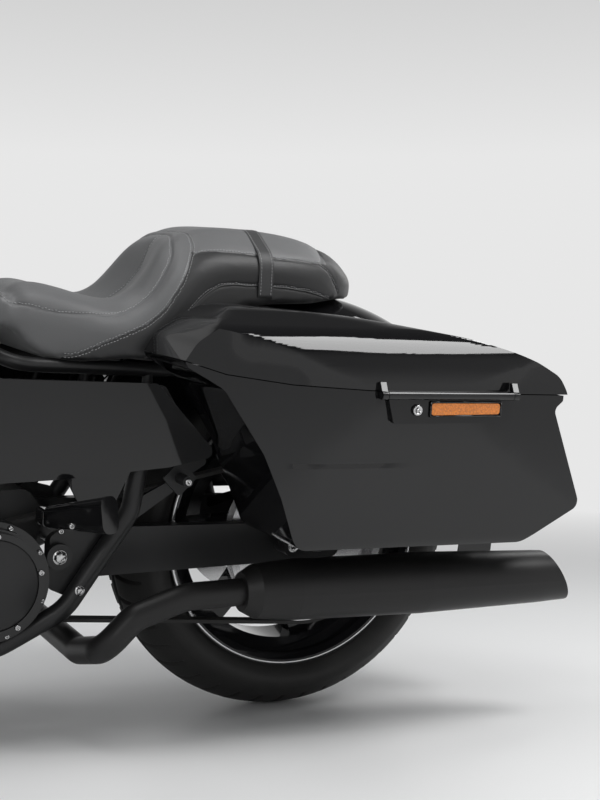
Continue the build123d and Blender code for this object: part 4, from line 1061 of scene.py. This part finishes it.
def dials():
    """Two instruments: bezel, dark face, ticks and a needle."""
    rings, faces, ticks, needles = Shapes(), Shapes(), Shapes(), Shapes()
    way = unit((-20, 0, 6))
    across, up = np.array((0, 1, 0)), np.cross(way, (0, 1, 0))
    up = up if up[2] > 0 else -up
    for y in (-52, 52):
        hub = np.array((1322, y, 1036)) + way * 0.4
        rings.lathe(hub, way, [(42, -3), (42, 3.4), (40.5, 4.6), (37, 4.6), (36, 1.2), (36, 0)], 56)
        faces.lathe(hub, way, [(36.4, 0), (36.4, 1.0), (0.02, 1.0)], 48)
        for n in range(25):
            turn = radians(-120 + 10 * n)
            spoke = across * sin(turn) + up * cos(turn)
            long = 7 if n % 4 == 0 else 4
            ticks.run([hub + way * 1.3 + spoke * (34 - long), hub + way * 1.3 + spoke * 34],
                      0.55 if n % 4 == 0 else 0.35, 4)
        turn = radians(-95)
        spoke = across * sin(turn) + up * cos(turn)
        needles.run([hub + way * 2.4 - spoke * 6, hub + way * 2.4 + spoke * 27], 0.8, 5)
        needles.lathe(hub + way, way, [(4.5, 0), (4.5, 2.4), (3.6, 3.2), (0.02, 3.2)], 20)
    rings.without_caps().make("dial_bezels", STEEL, "steering")
    faces.make("dial_faces", SATIN, "steering")
    ticks.make("dial_ticks", PLATE, "steering")
    needles.make("dial_needles", RED, "steering")


def beside(place, y, z):
    """How far a place is from a line along the machine, in millimetres, on either side."""
    return sqrt((abs(place[1]) - y) ** 2 + (place[2] - z) ** 2)


def lamps_and_plate():
    paint_faces("rear_signals", ENGINE,
                lambda place, way: place[0] > -408 or beside(place, 178, 585) > 28)
    paint_faces("front_signals", ENGINE,
                lambda place, way: place[0] < 1380 or beside(place, 222, 792) > 32)
    paint_faces("tail_lamp", ENGINE, lambda place, way: way[0] > -0.3)
    paint_faces("headlamp", ENGINE, lambda place, way: way[0] < 0.6)
    paint_faces("plate_bracket", PLATE,
                lambda place, way: way[0] < -0.9 and place[0] < -436 and abs(place[1]) < 101)
    dials()
    bezel, bowl = Shapes(), Shapes()
    bezel.lathe((1568, 0, 905), (1, 0, 0), [(88, 0), (89, 5), (86, 9), (80, 9), (77, 4), (76.5, 0)], 72)
    bezel.without_caps().make("headlamp_bezel", STEEL, "steering")
    for y, z in ((-26, 925), (26, 925), (0, 882)):
        bowl.lathe((1556.4, y, z), (1, 0, 0),
                   [(25, 0.2), (25, 4), (23, 4.6), (21, 2), (12.5, 1), (0.02, 0.6)], 36)
    bowl.make("headlamp_projectors", STEEL, "steering")


engine_fasteners()
frame_fasteners()
saddlebag_fittings()
wheel_details()
lamps_and_plate()

# ---- studio -------------------------------------------------------------------------
PALE, CEILING = 0.80, 0.07


def studio_floor():
    """A pale floor that fades into the backdrop's tone away from the machine."""
    f = Finish("pale_floor")
    flat = f.node("ShaderNodeVectorMath", {"operation": "MULTIPLY"}, [f.place(), (1, 1, 0)])
    reach = f.node("ShaderNodeVectorMath", {"operation": "LENGTH"}, [flat], "Value")
    fade = f.ramp(reach * 0.1, (0.24, 0), (0.62, 1))
    tone = f.mix(f.noise(700, 3), (PALE * 0.97,) * 3, (PALE, PALE, PALE * 0.995))
    f.surface(Base_Color=tone, Roughness=0.42, Specular_IOR_Level=0.25)
    glow = f.node("ShaderNodeEmission", None, {"Color": (PALE, PALE, PALE), "Strength": 1.0})
    near = Value(f, f.shader.outputs[0])
    f.show(f.blend(fade, near, glow), "Material Output")
    mesh = bpy.data.meshes.new("studio_floor")
    mesh.from_pydata([(-60, -60, 0), (60, -60, 0), (60, 60, 0), (-60, 60, 0)], [], [(0, 1, 2, 3)])
    floor = put_in("studio_floor", mesh)
    finish_with(floor, f.material)
    floor.location.z = -0.0005


def studio_world():
    """Soft even light. The camera, gloss and glass see a pale backdrop, dark overhead."""
    world = bpy.data.worlds.new("studio")
    bpy.context.scene.world = world
    w = Nodes(world)
    camera, gloss, glass = (w.node("ShaderNodeLightPath", out=ray) for ray in (
        "Is Camera Ray", "Is Glossy Ray", "Is Transmission Ray"))
    seen = w.math("MAXIMUM", w.math("MAXIMUM", camera, gloss), glass)
    way = w.node("ShaderNodeTexCoord", out="Generated")
    height = w.node("ShaderNodeSeparateXYZ", None, [way], "Z")
    ceiling = w.ramp(height, (0.16, PALE), (0.62, CEILING))
    soft = w.node("ShaderNodeBackground", None, {"Color": (0.96, 0.98, 1), "Strength": 0.42})
    backdrop = w.node("ShaderNodeBackground", None, {"Color": ceiling, "Strength": 1.0})
    w.show(w.blend(seen, soft, backdrop), "World Output")


def softbox(name, place, aim, width, length, radiance):
    """A rectangular softbox; its power follows from how bright its face looks."""
    light = bpy.data.lights.new(name, "AREA")
    light.shape = "RECTANGLE"
    light.size, light.size_y = width, length
    light.energy = radiance * pi * width * length
    lamp = put_in(name, light)
    lamp.location = place
    lamp.rotation_mode = "QUATERNION"
    lamp.rotation_quaternion = (Vector(aim) - Vector(place)).to_track_quat("-Z", "Y")


def studio_camera():
    """The camera stands low, ahead of the rear wheel on the machine's left."""
    turn, tip, roll = radians(-26.234), radians(0.316), radians(0.147)
    forward = Vector((sin(turn) * cos(tip), -cos(turn) * cos(tip), sin(tip)))
    right = forward.cross(Vector((0, 0, 1))).normalized()
    up = right.cross(forward)
    right, up = cos(roll) * right + sin(roll) * up, cos(roll) * up - sin(roll) * right
    camera = put_in("camera", bpy.data.cameras.new("camera"))
    camera.matrix_world = Matrix.Translation(REAR_HUB + Vector((1.2211, 2.5672, 0.2118))) @ Matrix(
        (right, up, -forward)).transposed().to_4x4()
    camera.data.sensor_width = 36
    camera.data.lens = 69.9
    bpy.context.scene.camera = camera


bpy.context.scene.view_settings.view_transform = "Standard"
studio_floor()
studio_world()
studio_camera()
softbox("overhead_softbox", (0.1, 0.2, 2.9), (0.1, 0.0, 0.5), 0.8, 2.4, 3.0)
softbox("rear_quarter_softbox", (-2.0, 1.35, 2.7), (-0.6, 0.3, 0.65), 1.3, 1.6, 9.0)
softbox("left_strip", (1.2, 2.6, 1.7), (0.0, 0.0, 0.5), 0.3, 1.4, 6.0)
softbox("tail_strip", (-2.6, -0.9, 1.7), (-0.6, 0.0, 0.6), 0.3, 1.4, 6.0)
